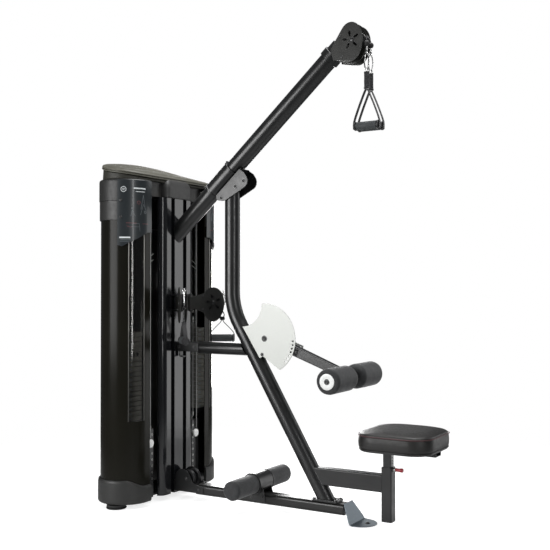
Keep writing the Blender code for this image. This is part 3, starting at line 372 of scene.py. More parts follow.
# ---- mesh tools ----------------------------------------------------------------------------
def loft(rings, closed=False):
    """Solid through rings of points, with flat ends unless the last ring joins the first."""
    bm = bmesh.new()
    rows = [[bm.verts.new(p) for p in ring] for ring in rings]
    count = len(rows[0])
    pairs = list(zip(rows, rows[1:]))
    if closed:
        pairs.append((rows[-1], rows[0]))
    for a, b in pairs:
        for i in range(count):
            j = (i + 1) % count
            bm.faces.new((a[i], a[j], b[j], b[i]))
    if not closed:
        bm.faces.new(rows[0])
        bm.faces.new(rows[-1])
    bmesh.ops.recalc_face_normals(bm, faces=bm.faces)
    return bm


def arc(middle_point, radius, start, end, steps):
    angles = [start + (end - start) * i / steps for i in range(steps + 1)]
    return [(middle_point[0] + radius * cos(a), middle_point[1] + radius * sin(a)) for a in angles]


def rounded(half_a, half_b, radius, steps=6, at=(0, 0)):
    """Rectangle outline with round corners."""
    points = []
    for k, (sa, sb) in enumerate(((1, 1), (-1, 1), (-1, -1), (1, -1))):
        corner = (at[0] + sa * (half_a - radius), at[1] + sb * (half_b - radius))
        points += arc(corner, radius, k * pi / 2, (k + 1) * pi / 2, steps)
    return points


def across(direction):
    side = Vector((0, 1, 0)) if abs(direction.y) < 0.9 else Vector((1, 0, 0))
    a = direction.cross(side).normalized()
    return a, direction.cross(a).normalized()


def circle(point, direction, radius, sides):
    a, b = across(direction)
    return [point + (a * cos(tau * i / sides) + b * sin(tau * i / sides)) * radius for i in range(sides)]


def turned(start, direction, profile, sides=40):
    """Solid of revolution from a profile of (distance along, radius)."""
    start, direction = Vector(start), Vector(direction).normalized()
    return loft([circle(start + direction * s, direction, r, sides) for s, r in profile])


def ring(start, direction, profile, sides=48):
    """Ring of revolution: closed profile of (distance along, radius)."""
    start, direction = Vector(start), Vector(direction).normalized()
    a, b = across(direction)
    rings = []
    for i in range(sides):
        out = a * cos(tau * i / sides) + b * sin(tau * i / sides)
        rings.append([start + direction * s + out * r for s, r in profile])
    return loft(rings, closed=True)


def rod(start, end, radius, sides=24, ease=0.0):
    """Round bar between two points; ease rounds its ends."""
    start, end = Vector(start), Vector(end)
    length = (end - start).length
    if not ease:
        return turned(start, end - start, [(0, radius), (length, radius)], sides)
    profile = [(0, radius - ease), (ease * 0.3, radius - ease * 0.3), (ease, radius),
               (length - ease, radius), (length - ease * 0.3, radius - ease * 0.3), (length, radius - ease)]
    return turned(start, end - start, profile, sides)


def axle(x, z, half, radius, sides=24, ease=0.0):
    """Rod across the machine."""
    return rod((x, -half, z), (x, half, z), radius, sides, ease)


def sweep(path, section, closed=False, side=(0, 1, 0)):
    """Section of (across, side) offsets carried along a path; side is the section's second axis."""
    path = [Vector(p) for p in path]
    side = Vector(side)
    rings = []
    count = len(path)
    for i, point in enumerate(path):
        before = path[i - 1] if closed or i else path[0]
        after = path[(i + 1) % count] if closed or i < count - 1 else path[-1]
        along = (after - before).normalized()
        out = along.cross(side).normalized()
        flat = out.cross(along).normalized()
        rings.append([point + out * a + flat * b for a, b in section])
    return loft(rings, closed)


def disc(radius, sides=12):
    return [(radius * cos(tau * i / sides), radius * sin(tau * i / sides)) for i in range(sides)]


def flat_strip(width, thickness, radius=0.0006):
    """Cross-section of webbing: thickness across, width along the side axis."""
    return rounded(thickness / 2, width / 2, min(radius, thickness / 2 - 0.0001), 2)


def box(x, y, z, ease=0.0008):
    """Box between pairs of limits with eased edges."""
    bm = bmesh.new()
    bmesh.ops.create_cube(bm, size=1.0)
    size = Vector((x[1] - x[0], y[1] - y[0], z[1] - z[0]))
    where = Vector((x[0] + x[1], y[0] + y[1], z[0] + z[1])) / 2
    bmesh.ops.scale(bm, verts=bm.verts, vec=size)
    bmesh.ops.translate(bm, verts=bm.verts, vec=where)
    if ease:
        bmesh.ops.bevel(bm, geom=bm.edges[:], offset=ease, segments=2, affect="EDGES", profile=0.5)
    return bm


def plate(outlines, plane, low, high, ease=0.0005):
    """Flat plate with eased edges; outlines after the first are holes."""
    curve = bpy.data.curves.new("plate", "CURVE")
    curve.dimensions, curve.fill_mode = "2D", "BOTH"
    curve.extrude = (high - low) / 2 - ease
    curve.bevel_depth, curve.bevel_resolution, curve.offset = ease, 1, -ease
    for outline in outlines:
        spline = curve.splines.new("POLY")
        spline.points.add(len(outline) - 1)
        for point, (a, b) in zip(spline.points, outline):
            point.co = (a, b, 0, 1)
        spline.use_cyclic_u = True
    helper = bpy.data.objects.new("plate", curve)
    bpy.context.scene.collection.objects.link(helper)
    bpy.context.view_layer.update()
    mesh = helper.evaluated_get(bpy.context.evaluated_depsgraph_get()).to_mesh()
    bm = bmesh.new()
    bm.from_mesh(mesh)
    bpy.data.objects.remove(helper)
    bpy.data.curves.remove(curve)
    half = (low + high) / 2
    for v in bm.verts:
        a, b, h = v.co.x, v.co.y, v.co.z + half
        v.co = {"y": (a, h, b), "z": (a, b, h), "x": (h, a, b)}[plane]
    bmesh.ops.remove_doubles(bm, verts=bm.verts, dist=0.00001)
    bmesh.ops.recalc_face_normals(bm, faces=bm.faces)
    return bm


def merged(solids):
    whole = bmesh.new()
    for solid in solids:
        mesh = bpy.data.meshes.new("part")
        solid.to_mesh(mesh)
        whole.from_mesh(mesh)
        solid.free()
        bpy.data.meshes.remove(mesh)
    return whole


def piece(name, solids, look, body="root", stands_for=(), sharp=32):
    """Object made of one or more solids, riding on a body."""
    bm = merged(solids if isinstance(solids, list) else [solids])
    bmesh.ops.translate(bm, verts=bm.verts, vec=(TOWER_X, 0, 0))
    mesh = bpy.data.meshes.new(name)
    bm.to_mesh(mesh)
    bm.free()
    mesh.shade_smooth()
    mesh.set_sharp_from_angle(angle=radians(sharp))
    mesh.materials.append(LOOKS[look].material)
    obj = bpy.data.objects.new(name, mesh)
    bpy.context.scene.collection.objects.link(obj)
    if look not in SOFT_LOOKS:
        flats = obj.modifiers.new("flats", "WEIGHTED_NORMAL")
        flats.keep_sharp, flats.weight = True, 100
    if body:
        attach(obj, body)
    if stands_for:
        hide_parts(*stands_for)
    return obj


def bolt(point, direction, radius, height):
    """Button head with a washer and a round recess."""
    washer = [(0, radius * 1.42), (0.0010, radius * 1.45), (0.0014, radius * 1.38)]
    head = [(0.0012, radius), (height * 0.45, radius), (height * 0.8, radius * 0.86),
            (height, radius * 0.55), (height - 0.0002, radius * 0.45), (height * 0.4, radius * 0.43)]
    return merged([turned(point, direction, washer, 28), turned(point, direction, head, 24)])


def hex_bolt(point, direction, radius, height):
    washer = [(0, radius * 1.5), (0.0012, radius * 1.5), (0.0016, radius * 1.4)]
    head = [(0.0014, radius), (height * 0.85, radius), (height, radius * 0.88)]
    return merged([turned(point, direction, washer, 28), turned(point, direction, head, 6)])


def bolt_pair(x, y, z, radius, height, head=bolt):
    """The same bolt on the left and on the right, facing outwards."""
    return [head((x, side * y, z), (0, side, 0), radius, height) for side in SIDES.values()]


def shell(columns, rows, keep=lambda c, r: True):
    """Thick curved sheet. columns are (outer, inner) plan points, rows are heights and
    keep(column, row) says which cells are there."""
    bm = bmesh.new()
    found = {}

    def vertex(c, r, layer):
        key = (c, r, layer)
        if key not in found:
            found[key] = bm.verts.new((*columns[c][layer], rows[r]))
        return found[key]

    kept = {(c, r) for c in range(len(columns) - 1) for r in range(len(rows) - 1) if keep(c, r)}
    for c, r in kept:
        for layer in (0, 1):
            bm.faces.new([vertex(c, r, layer), vertex(c + 1, r, layer),
                          vertex(c + 1, r + 1, layer), vertex(c, r + 1, layer)])
        edges = (((c - 1, r), (c, r), (c, r + 1)), ((c + 1, r), (c + 1, r), (c + 1, r + 1)),
                 ((c, r - 1), (c, r), (c + 1, r)), ((c, r + 1), (c, r + 1), (c + 1, r + 1)))
        for neighbour, a, b in edges:
            if neighbour not in kept:
                bm.faces.new([vertex(*a, 0), vertex(*b, 0), vertex(*b, 1), vertex(*a, 1)])
    bmesh.ops.recalc_face_normals(bm, faces=bm.faces)
    return bm


# ---- tower ---------------------------------------------------------------------------------
WINDOW_ARC = (6, 45)                          # degrees round the front corner
WINDOW_LOW, WINDOW_HIGH = 0.430, 1.600


def oval(outer, inner, side, angles, front=INNER_Y, back=INNER_Y):
    """(outer, inner) plan points of a shroud's half oval; angles in degrees from the front."""
    columns = []

    def straight(end, y):
        return tuple((SHROUD_X + end * (SHROUD_R + o), side * y) for o in (outer, inner))

    if front is not None:
        columns.append(straight(1, front))
    for a in angles:
        t = radians(a)
        columns.append(tuple((SHROUD_X + (SHROUD_R + o) * cos(t), side * (SHROUD_Y + (SHROUD_R + o) * sin(t)))
                             for o in (outer, inner)))
    if back is not None:
        columns.append(straight(-1, back))
    return columns


def spread(*stops, step=4.0):
    """Angles through the stops, no further apart than the step."""
    angles = [stops[0]]
    for a, b in zip(stops, stops[1:]):
        count = max(1, round((b - a) / step))
        angles += [a + (b - a) * (i + 1) / count for i in range(count)]
    return angles


def shrouds():
    start, end = WINDOW_ARC
    angles = spread(0, start, end, 180)
    low, high = SHROUD_LOW.z, SHROUD_HIGH.z
    for name, side in SIDES.items():
        first, last = angles.index(start) + 1, angles.index(end) + 1

        def keep(c, r):
            return not (first <= c < last and r == 1)

        solid = shell(oval(0, -SHROUD_T, side, angles), [low, WINDOW_LOW, WINDOW_HIGH, high], keep)
        piece(f"shroud_shell_{name}", solid, "smoked_acrylic", stands_for=[f"shroud_{name}"], sharp=20)
        pane = shell(oval(-0.0006, -0.0032, side, spread(start + 0.6, end - 0.6), None, None),
                     [WINDOW_LOW + 0.001, WINDOW_HIGH - 0.001])
        piece(f"window_pane_{name}", pane, "smoked_window", sharp=20)
        strips = [shell(oval(0.0008, -0.0035, side, spread(a - w, a + w, step=1), None, None),
                        [WINDOW_LOW, WINDOW_HIGH - 0.002])
                  for a, w in ((start, 0.75), (end, 0.5))]
        # Thin strips at the window's edges that carry a painted highlight.
        piece(f"window_highlight_strips_{name}", strips, "window_edge_highlight", sharp=20)


def base_caps():
    low = limits("base_cap_right")[0].z
    top_back, top_front = limits("base_cap_right")[1].z, 0.109
    angles = spread(0, 180, step=4)
    for name, side in SIDES.items():
        levels = [(0.0003, low), (0.0040, low), (0.0075, low + 0.0015), (0.0112, low + 0.007),
                  (0.0120, low + 0.013), (0.0118, None), (0.0105, -0.0085), (0.0082, -0.0030),
                  (0.0050, 0.0), (0.0003, 0.0)]
        rings = []
        for c in range(len(angles) + 2):
            angle = angles[min(max(c - 1, 0), len(angles) - 1)]
            ease = min(max((angle - 4) / 48, 0), 1) if 0 < c <= len(angles) else float(c > 0)
            ease = ease * ease * (3 - 2 * ease)
            top = top_front + (top_back - top_front) * ease
            profile = []
            for offset, z in levels:
                point = oval(offset, 0, side, angles)[c][0]
                height = top - 0.016 if z is None else (z if z > 0.001 else top + z)
                profile.append((*point, height))
            rings.append(profile)
        piece(f"base_skirt_{name}", loft(rings), "grey_plastic", stands_for=[f"base_cap_{name}"], sharp=40)
        profile = [(0, 0.0455), (0.0008, 0.0480), (0.0030, 0.0500), (0.0060, 0.0508), (0.0075, 0.0490),
                   (0.0085, 0.0400), (0.0105, 0.0390), (0.0110, 0.0470), (0.0140, 0.0480), (0.0200, 0.0480)]
        pad = turned((0, side * 0.355, 0), (0, 0, 1), profile, 48)
        piece(f"levelling_foot_{name}", pad, "black_rubber", stands_for=[f"foot_pad_{name}"])


def top_caps():
    low, high = limits("top_cap_right")[0].z, limits("top_cap_right")[1].z
    step_z = 1.517
    angles = spread(0, 180, step=4)
    for name, side in SIDES.items():
        levels = [(0.0003, low), (0.0046, low), (0.0062, low + 0.002), (0.0064, step_z - 0.0012),
                  (0.0050, step_z), (0.0080, step_z + 0.0010), (0.0086, step_z + 0.003),
                  (0.0086, high - 0.012), (0.0066, high - 0.0055), (0.0020, high - 0.0014), (-0.004, high),
                  (-0.012, high), (-0.012, high - 0.0035), (0.0003, high - 0.0055)]
        rings = [[(*oval(offset, 0, side, angles)[c][0], z) for offset, z in levels]
                 for c in range(len(angles) + 2)]
        piece(f"top_collar_{name}", loft(rings), "grey_plastic", stands_for=[f"top_cap_{name}"], sharp=40)


# ---- placard with generic graphics -----------------------------------------------------------
PLACARD_FACE = 0.0115
PLACARD_TOP, PLACARD_OUTER, PLACARD_INNER, PLACARD_TURN = 1.620, 1.291, 1.362, 69.0
SUNK, PROUD = -0.0001, 0.0003                 # how deep and how high a printed mark is


def on_placard(side, angle, z, lift=0.0):
    """A point on the placard's face; negative angles lie on its flat inner part, in millimetres."""
    radius = SHROUD_R + PLACARD_FACE + lift
    if angle < 0:
        return Vector((SHROUD_X + radius, side * (SHROUD_Y + angle / 1000), z))
    t = radians(angle)
    return Vector((SHROUD_X + radius * cos(t), side * (SHROUD_Y + radius * sin(t)), z))


def print_patch(side, a0, a1, z0, z1, steps=5):
    """Thin printed rectangle that follows the placard."""
    rings = []
    for i in range(steps + 1):
        a = a0 + (a1 - a0) * i / steps
        corners = ((z0, SUNK), (z0, PROUD), (z1, PROUD), (z1, SUNK))
        rings.append([on_placard(side, a, z, lift) for z, lift in corners])
    return loft(rings)


def print_line(side, points, width):
    """Thin printed line through (angle, height) points."""
    solids = []
    for (a0, z0), (a1, z1) in zip(points, points[1:]):
        start, end = on_placard(side, a0, z0), on_placard(side, a1, z1)
        half_way = (a0 + a1) / 2
        out = (on_placard(side, half_way, z0, 0.01) - on_placard(side, half_way, z0)).normalized()
        normal = out.cross(end - start).normalized() * (width / 2)
        count = max(1, round(abs(a1 - a0) / 4))
        rings = []
        for i in range(count + 1):
            t = i / count
            a, z = a0 + (a1 - a0) * t, z0 + (z1 - z0) * t
            low, high = on_placard(side, a, z, SUNK), on_placard(side, a, z, PROUD)
            rings.append([low - normal, high - normal, high + normal, low + normal])
        solids.append(loft(rings))
    return solids


def print_ring(side, angle, z, radius, width, sides=28):
    rings = []
    for i in range(sides):
        t = tau * i / sides
        spot = []
        hole = radius - width
        for r, lift in ((radius, SUNK), (radius, PROUD), (hole, PROUD), (hole, SUNK)):
            turn_by = r * cos(t) / (SHROUD_R + PLACARD_FACE)
            spot.append(on_placard(side, angle + turn_by * 180 / pi, z + r * sin(t), lift))
        rings.append(spot)
    return loft(rings, closed=True)


def placards():
    for name, side in SIDES.items():
        angles = spread(0, PLACARD_TURN, step=4)
        near = oval(0.0072, 0, side, angles, 0.240, None)
        far = oval(PLACARD_FACE, 0, side, angles, 0.240, None)
        edge = oval(PLACARD_FACE - 0.0008, 0, side, angles, 0.240, None)
        rings = []
        for c in range(len(angles) + 1):
            angle = angles[max(c - 1, 0)]
            share = min(angle / 60, 1.0) if c > 1 else 0.0
            low = PLACARD_INNER + (PLACARD_OUTER - PLACARD_INNER) * share
            if angle > PLACARD_TURN - 6:
                low += 0.006
            n, f, e = near[c][0], far[c][0], edge[c][0]
            rings.append([(*n, low), (*e, low), (*f, low + 0.0012), (*f, PLACARD_TOP - 0.0012),
                          (*e, PLACARD_TOP), (*n, PLACARD_TOP)])
        piece(f"placard_board_{name}", loft(rings), "placard_plate", stands_for=[f"placard_{name}"])
        white = [print_ring(side, 56, 1.572, 0.0135, 0.0022),
                 print_ring(side, 56, 1.572, 0.0050, 0.0022, 16),
                 print_patch(side, 7, 35, 1.574, 1.581, 6),
                 print_patch(side, 9, 31, 1.5600, 1.5630),
                 print_patch(side, 42, 64.5, 1.3310, 1.3385)]
        piece(f"placard_marks_{name}", white, "print_white")
        grey = [print_patch(side, 42, 62.0, 1.3225, 1.3248),
                print_patch(side, 45, 63.0, 1.3150, 1.3172),
                print_ring(side, 38.3, 1.479, 0.0045, 0.0027, 14),
                print_ring(side, 8, 1.462, 0.0075, 0.0030, 16)]
        for width, *points in ((0.0020, (41, 1.440), (38, 1.470), (36, 1.462), (32, 1.440)),
                               (0.0020, (19, 1.475), (13, 1.545), (8, 1.475)),
                               (0.0017, (5, 1.470), (13, 1.500), (20, 1.448)),
                               (0.0014, (35, 1.404), (23, 1.404), (21, 1.366)),
                               (0.0013, (40, 1.388), (23, 1.388))):
            grey += print_line(side, points, width)
        piece(f"placard_figures_{name}", grey, "print_grey")
        red = [print_ring(side, 24, 1.508, 0.0085, 0.0014, 18)]
        for width, *points in ((0.0016, (51, 1.406), (29, 1.406)),
                               (0.0016, (15, 1.404), (0, 1.404)),
                               (0.0014, (49, 1.392), (43, 1.386), (39, 1.386))):
            red += print_line(side, points, width)
        piece(f"placard_lines_{name}", red, "print_red")
        screws = []
        for z in (1.518, 1.436):
            out = on_placard(side, 61.5, z, 0.01) - on_placard(side, 61.5, z)
            screws.append(bolt(on_placard(side, 61.5, z, -0.0002), out, 0.0052, 0.0030))
        piece(f"placard_screws_{name}", screws, "dark_bolt")


def lid_height(x, y):
    """Rises from the front of the tower to a domed back edge."""
    share = (SHROUD_X + SHROUD_R - x) / (2 * SHROUD_R)
    return 1.660 + (0.085 - 0.26 * y * y) * share


def lid():
    """Layered lid: set-back band, lips with shadow gaps, a domed crown with two shallow trays and
    the bulge over the column."""
    base = limits("top_cover")[0].z

    def plan(offset):
        points = []
        for side in (1, -1):
            turnpoints = arc((SHROUD_X, SHROUD_Y), SHROUD_R + offset, 0, pi, 24)
            ends = [(x, side * y) for x, y in turnpoints]
            straight = [(SHROUD_X - side * (SHROUD_R + offset), side * SHROUD_Y * (1 - 2 * i / 12))
                        for i in range(1, 12)]
            points += (ends if side > 0 else ends[::-1]) + straight
        return points

    def level(offset, drop=0.0, height=None):
        return [(x, y, height if height else lid_height(x, y) - drop) for x, y in plan(offset)]

    seat = 1.6268
    rings = [level(-0.016, height=seat), level(-0.012, height=seat), level(-0.0085, height=seat + 0.003)]
    rings += [level(offset, drop) for offset, drop in (
        (-0.0110, 0.0250), (-0.0130, 0.0235), (-0.0130, 0.0215), (-0.0050, 0.0200), (-0.0040, 0.0180),
        (-0.0042, 0.0150), (-0.0080, 0.0138), (-0.0130, 0.0130), (-0.0130, 0.0112), (-0.0062, 0.0100),
        (-0.0055, 0.0070), (-0.0080, 0.0030), (-0.0140, 0.0004), (-0.0190, 0.0), (-0.0205, 0.0022),
        (-0.0265, 0.0022), (-0.0280, -0.0006), (-0.0400, -0.0020), (-0.0420, 0.0002), (-0.0460, 0.0002),
        (-0.0480, -0.0022), (-0.0800, -0.0030), (-0.1050, -0.0032))]
    piece("lid_band", loft(rings[:5]), "lid_shadow", sharp=40)
    piece("tower_lid", loft(rings[5:]), "lid_plastic", stands_for=["top_cover"], sharp=40)
    piece("lid_fascia", box((0.020, 0.088), (-0.236, 0.236), (base, seat + 0.004), 0.002), "grey_plastic")
    half_x, half_y, centre_x = 0.0545, 0.113, 0.0705
    outline = rounded(half_x, half_y, 0.030, 8, (centre_x, 0))
    rings = []
    for inset, z in ((0.003, base), (0.0, base + 0.003), (0.0, 1.600), (0.002, 1.618), (0.010, 1.638),
                     (0.020, 1.652), (0.032, 1.660)):
        rings.append([(centre_x + (x - centre_x) * (1 - inset / half_x), y * (1 - inset / half_y), z)
                      for x, y in outline])
    piece("lid_bulge", loft(rings), "bulge_plastic", sharp=50)


def column():
    """Gloss fascia with soft shoulders and two grooves, and its swivel brackets."""
    back, front = 0.082, 0.116
    half = [(back, 0.138)]
    half += [(back + (front - back) * sin(pi / 2 * i / 12), 0.138 - 0.040 * (1 - cos(pi / 2 * i / 12)))
             for i in range(1, 13)]
    ease = 0.0015
    for y, sign in ((0.065, 1), (0.037, -1)):
        lip = [(front, y + sign * ease), (front - ease * 0.3, y + sign * ease * 0.3), (front - ease, y)]
        floor = [(0.0940 + ease, y), (0.0940 + ease * 0.3, y - sign * ease * 0.3), (0.0940, y - sign * ease)]
        half += lip + floor if sign > 0 else floor[::-1] + lip[::-1]
    outline = half + [(x, -y) for x, y in half[::-1]]
    low, high = limits("column")[0].z, 1.5512
    piece("column_fascia", loft([[(x, y, z) for x, y in outline] for z in (low, high)]), "gloss_fascia",
          stands_for=["column"], sharp=40)
    brackets, pins = [], []
    for side in SIDES.values():
        y = side * MID_PIVOT_Y
        brackets.append(box((0.0945, 0.104), (y - 0.0132, y + 0.0132), (MID_Z - 0.060, MID_Z + 0.060)))
        for z in (MID_Z - 0.0435, MID_Z + 0.0355):
            tongue = [(0.100, y - 0.0128), (0.100, y + 0.0128)]
            tongue += arc((MID_PIVOT_X, y), 0.0128, pi / 2, -pi / 2, 12)
            brackets.append(plate([tongue[::-1]], "z", z, z + 0.008, 0.0010))
        pins.append(rod((MID_PIVOT_X, y, MID_Z - 0.0465), (MID_PIVOT_X, y, MID_Z + 0.0465), AXLE_R, 20,
                        0.001))
        pins += [bolt((MID_PIVOT_X, y, MID_Z + 0.0436), (0, 0, 1), 0.0065, 0.0050),
                 hex_bolt((MID_PIVOT_X, y, MID_Z - 0.0436), (0, 0, -1), 0.0065, 0.0050)]
        for z in (MID_Z - 0.052, MID_Z + 0.052):
            pins.append(bolt((0.104, y, z), (1, 0, 0), 0.0042, 0.0030))
    piece("swivel_brackets", brackets, "black_steel")
    piece("swivel_bolts", pins, "dark_bolt")


def tower_inside():
    """Guide rods, cross cables and the hanging low cables behind the fascia."""
    rods, runs, fittings = [], [], []
    for side in SIDES.values():
        y = side * STACK_Y
        for offset in (-0.038, 0.038):
            rods.append(rod((STACK_X, y + offset, 0.4275), (STACK_X, y + offset, 1.5595), 0.0103, 24))
        for x, spot, z0, z1 in ((0.072, 0.186, 0.400, 0.935), (0.086, 0.199, 0.330, 1.540)):
            runs.append(rod((x, side * spot, z0), (x, side * spot, z1), CABLE_R, 12))
        for z, tall in ((0.915, 0.030), (0.405, 0.022), (0.960, 0.014)):
            fittings.append(rod((0.072, side * 0.186, z - tall / 2), (0.072, side * 0.186, z + tall / 2),
                                0.0052, 16, 0.001))
        hook = [Vector((0.072, side * 0.186, 0.400))]
        hook += [Vector((0.072, side * (0.186 - 0.010 * sin(a)), 0.390 - 0.010 * (1 - cos(a))))
                 for a in [pi * i / 8 for i in range(1, 9)]]
        fittings.append(sweep(hook, disc(0.0022, 8), side=(1, 0, 0)))
        for z0, z1 in ((1.215, 1.262), (1.190, 1.232)):
            runs.append(rod((0.060, side * 0.232, z0), (0.060, side * 0.142, z1), 0.0024, 10))
    piece("guide_rods", rods, "chrome")
    piece("tower_cables", runs, "cable_light")
    piece("cable_fittings", fittings, "zinc")


def weights():
    """Separate plates with eased edges, a label each, and the lifted ones with their yoke."""
    half_l, half_w = 0.0805, 0.055
    notch, reach, corner = 0.0125, 0.0255, 0.006

    def weight(y, index):
        z = STACK_LOW + index * PLATE_PITCH
        outline = []
        for k, (sx, sy) in enumerate(((1, -1), (1, 1), (-1, 1), (-1, -1))):
            where = (STACK_X + sx * (half_l - corner), y + sy * (half_w - corner))
            outline += arc(where, corner, (k - 1) * pi / 2, k * pi / 2, 4)
            if sx == sy:
                edge, deep = y + sy * half_w, y + sy * reach
                outline += [(STACK_X + notch * sx, edge), (STACK_X + notch * sx, deep),
                            (STACK_X - notch * sx, deep), (STACK_X - notch * sx, edge)]
        return plate([outline], "z", z, z + PLATE_THICK, 0.0018)

    for name, side in SIDES.items():
        y = side * STACK_Y
        resting = [weight(y, i) for i in range(REST_PLATES)]
        lifted = [weight(y, REST_PLATES + i) for i in range(LIFTED_PLATES)]
        top = STACK_LOW + (REST_PLATES + LIFTED_PLATES) * PLATE_PITCH - PLATE_PITCH + PLATE_THICK
        lifted.append(turned((STACK_X, y, top - 0.002), (0, 0, 1),
                             [(0, 0.020), (0.016, 0.020), (0.018, 0.018), (0.030, 0.008)], 24))
        lifted.append(rod((STACK_X, y, STACK_LOW + 0.004), (STACK_X, y, top), 0.008, 16))
        piece(f"resting_weights_{name}", resting, "plate_paint", stands_for=[f"rest_plates_{name}"])
        piece(f"raised_weights_{name}", lifted, "plate_paint", f"stack_{name}",
              stands_for=[f"lifted_plates_{name}"])
        x = STACK_X + half_l
        for label, body, first, count in (("weight_labels_root", "root", 0, REST_PLATES),
                                          ("raised_labels", f"stack_{name}", REST_PLATES, LIFTED_PLATES)):
            stickers = []
            for i in range(first, first + count):
                z = STACK_LOW + i * PLATE_PITCH + PLATE_THICK / 2
                stickers.append(box((x - 0.0002, x + 0.0004), (y - 0.046, y - 0.022),
                                    (z - 0.006, z + 0.006), 0))
            piece(f"{label}_{name}", stickers, "print_grey", body)
        pin = [turned((STACK_X + 0.0085, y, middle(f"selector_pin_{name}").z), (1, 0, 0),
                      [(0, 0.0038), (0.074, 0.0038), (0.0752, 0.0095), (0.078, 0.0108), (0.084, 0.0108),
                       (0.0865, 0.0095), (0.0878, 0.0060)], 28)]
        piece(f"weight_pin_{name}", pin, "chrome", f"pin_{name}", stands_for=[f"selector_pin_{name}"])
        low = limits(f"lift_cable_{name}")[0].z
        run = rod((STACK_X, y, low), (STACK_X, y, STACK_CABLE_TOP), 0.0030, 12)
        cable = piece(f"stack_cable_{name}", run, "cable_coat", f"stack_{name}",
                      stands_for=[f"lift_cable_{name}"])
        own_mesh(cable)


def posts():
    """White lock knobs and thin hole rings of the drilled posts."""
    for name, side in SIDES.items():
        y = side * KNOB_Y
        knob = turned((0.0805, y, KNOB_Z), (1, 0, 0),
                      [(0, 0.0190), (0.0008, 0.0205), (0.0030, 0.0213), (0.0070, 0.0213), (0.0095, 0.0200),
                       (0.0108, 0.0170), (0.0112, 0.0100), (0.0106, 0.0060)], 40)
        shank = rod((0.053, y, KNOB_Z), (0.081, y, KNOB_Z), 0.0055, 20)
        piece(f"post_knob_{name}", [knob, shank], "white_plastic", f"knob_{name}",
              stands_for=[f"lock_knob_{name}"])
        rims = [ring((0.0800, side * 0.176, 0.120 + 0.032 * i), (1, 0, 0),
                     [(-0.002, 0.0039), (0.0006, 0.0039), (0.0006, 0.0056), (-0.002, 0.0056)], 16)
                for i in range(8)]
        piece(f"post_hole_rims_{name}", rims, "zinc")


def rear():
    """Pressed louvres and edge screws on the rear panel."""
    x = limits("rear_panel")[0].x
    louvres, screws = [], []
    for z in [lowest + 0.030 * i for lowest in (0.30, 1.33) for i in range(6)]:
        for y in (-0.105, 0.105):
            rings = []
            for t, depth in ((0.0, 0.0005), (0.15, 0.004), (0.85, 0.004), (1.0, 0.0005)):
                yy = y - 0.075 + 0.150 * t
                rings.append([(x + 0.0008, yy, z - 0.007), (x - depth * 0.4, yy, z - 0.005),
                              (x - depth, yy, z + 0.004), (x + 0.0008, yy, z + 0.0055)])
            louvres.append(loft(rings))
    for z in (0.060, 0.45, 0.83, 1.21, 1.590):
        for y in (-0.222, 0.222):
            screws.append(bolt((x, y, z), (-1, 0, 0), 0.0045, 0.0030))
    piece("rear_louvres", louvres, "black_sheet")
    piece("rear_screws", screws, "dark_bolt")


# ---- frame ---------------------------------------------------------------------------------
def upright_path(top):
    """From the saddle straight down, round the bend and on to the rail."""
    radius = BEND_TANGENT / (sin(LEAN / 2) / cos(LEAN / 2))
    points = [Vector((UPRIGHT_X, 0, top))]
    for i in range(17):
        a = LEAN * i / 16
        points.append(Vector((UPRIGHT_X + radius * (1 - cos(a)), 0, BEND_Z + BEND_TANGENT - radius * sin(a))))
    points.append(UPRIGHT_FOOT)
    return points


def tube_between_planes(path, radius, sides, planes):
    """Round tube along a path, each end cut by a (point, normal) plane or left square."""
    rings = []
    for i, point in enumerate(path):
        along = (path[min(i + 1, len(path) - 1)] - path[max(i - 1, 0)]).normalized()
        rings.append(circle(point, along, radius, sides))
    for index, plane, along in ((0, planes[0], path[1] - path[0]), (-1, planes[1], path[-1] - path[-2])):
        if plane:
            point, normal = plane
            rings[index] = [p + along * ((point - p).dot(normal) / along.dot(normal)) for p in rings[index]]
    return loft(rings)


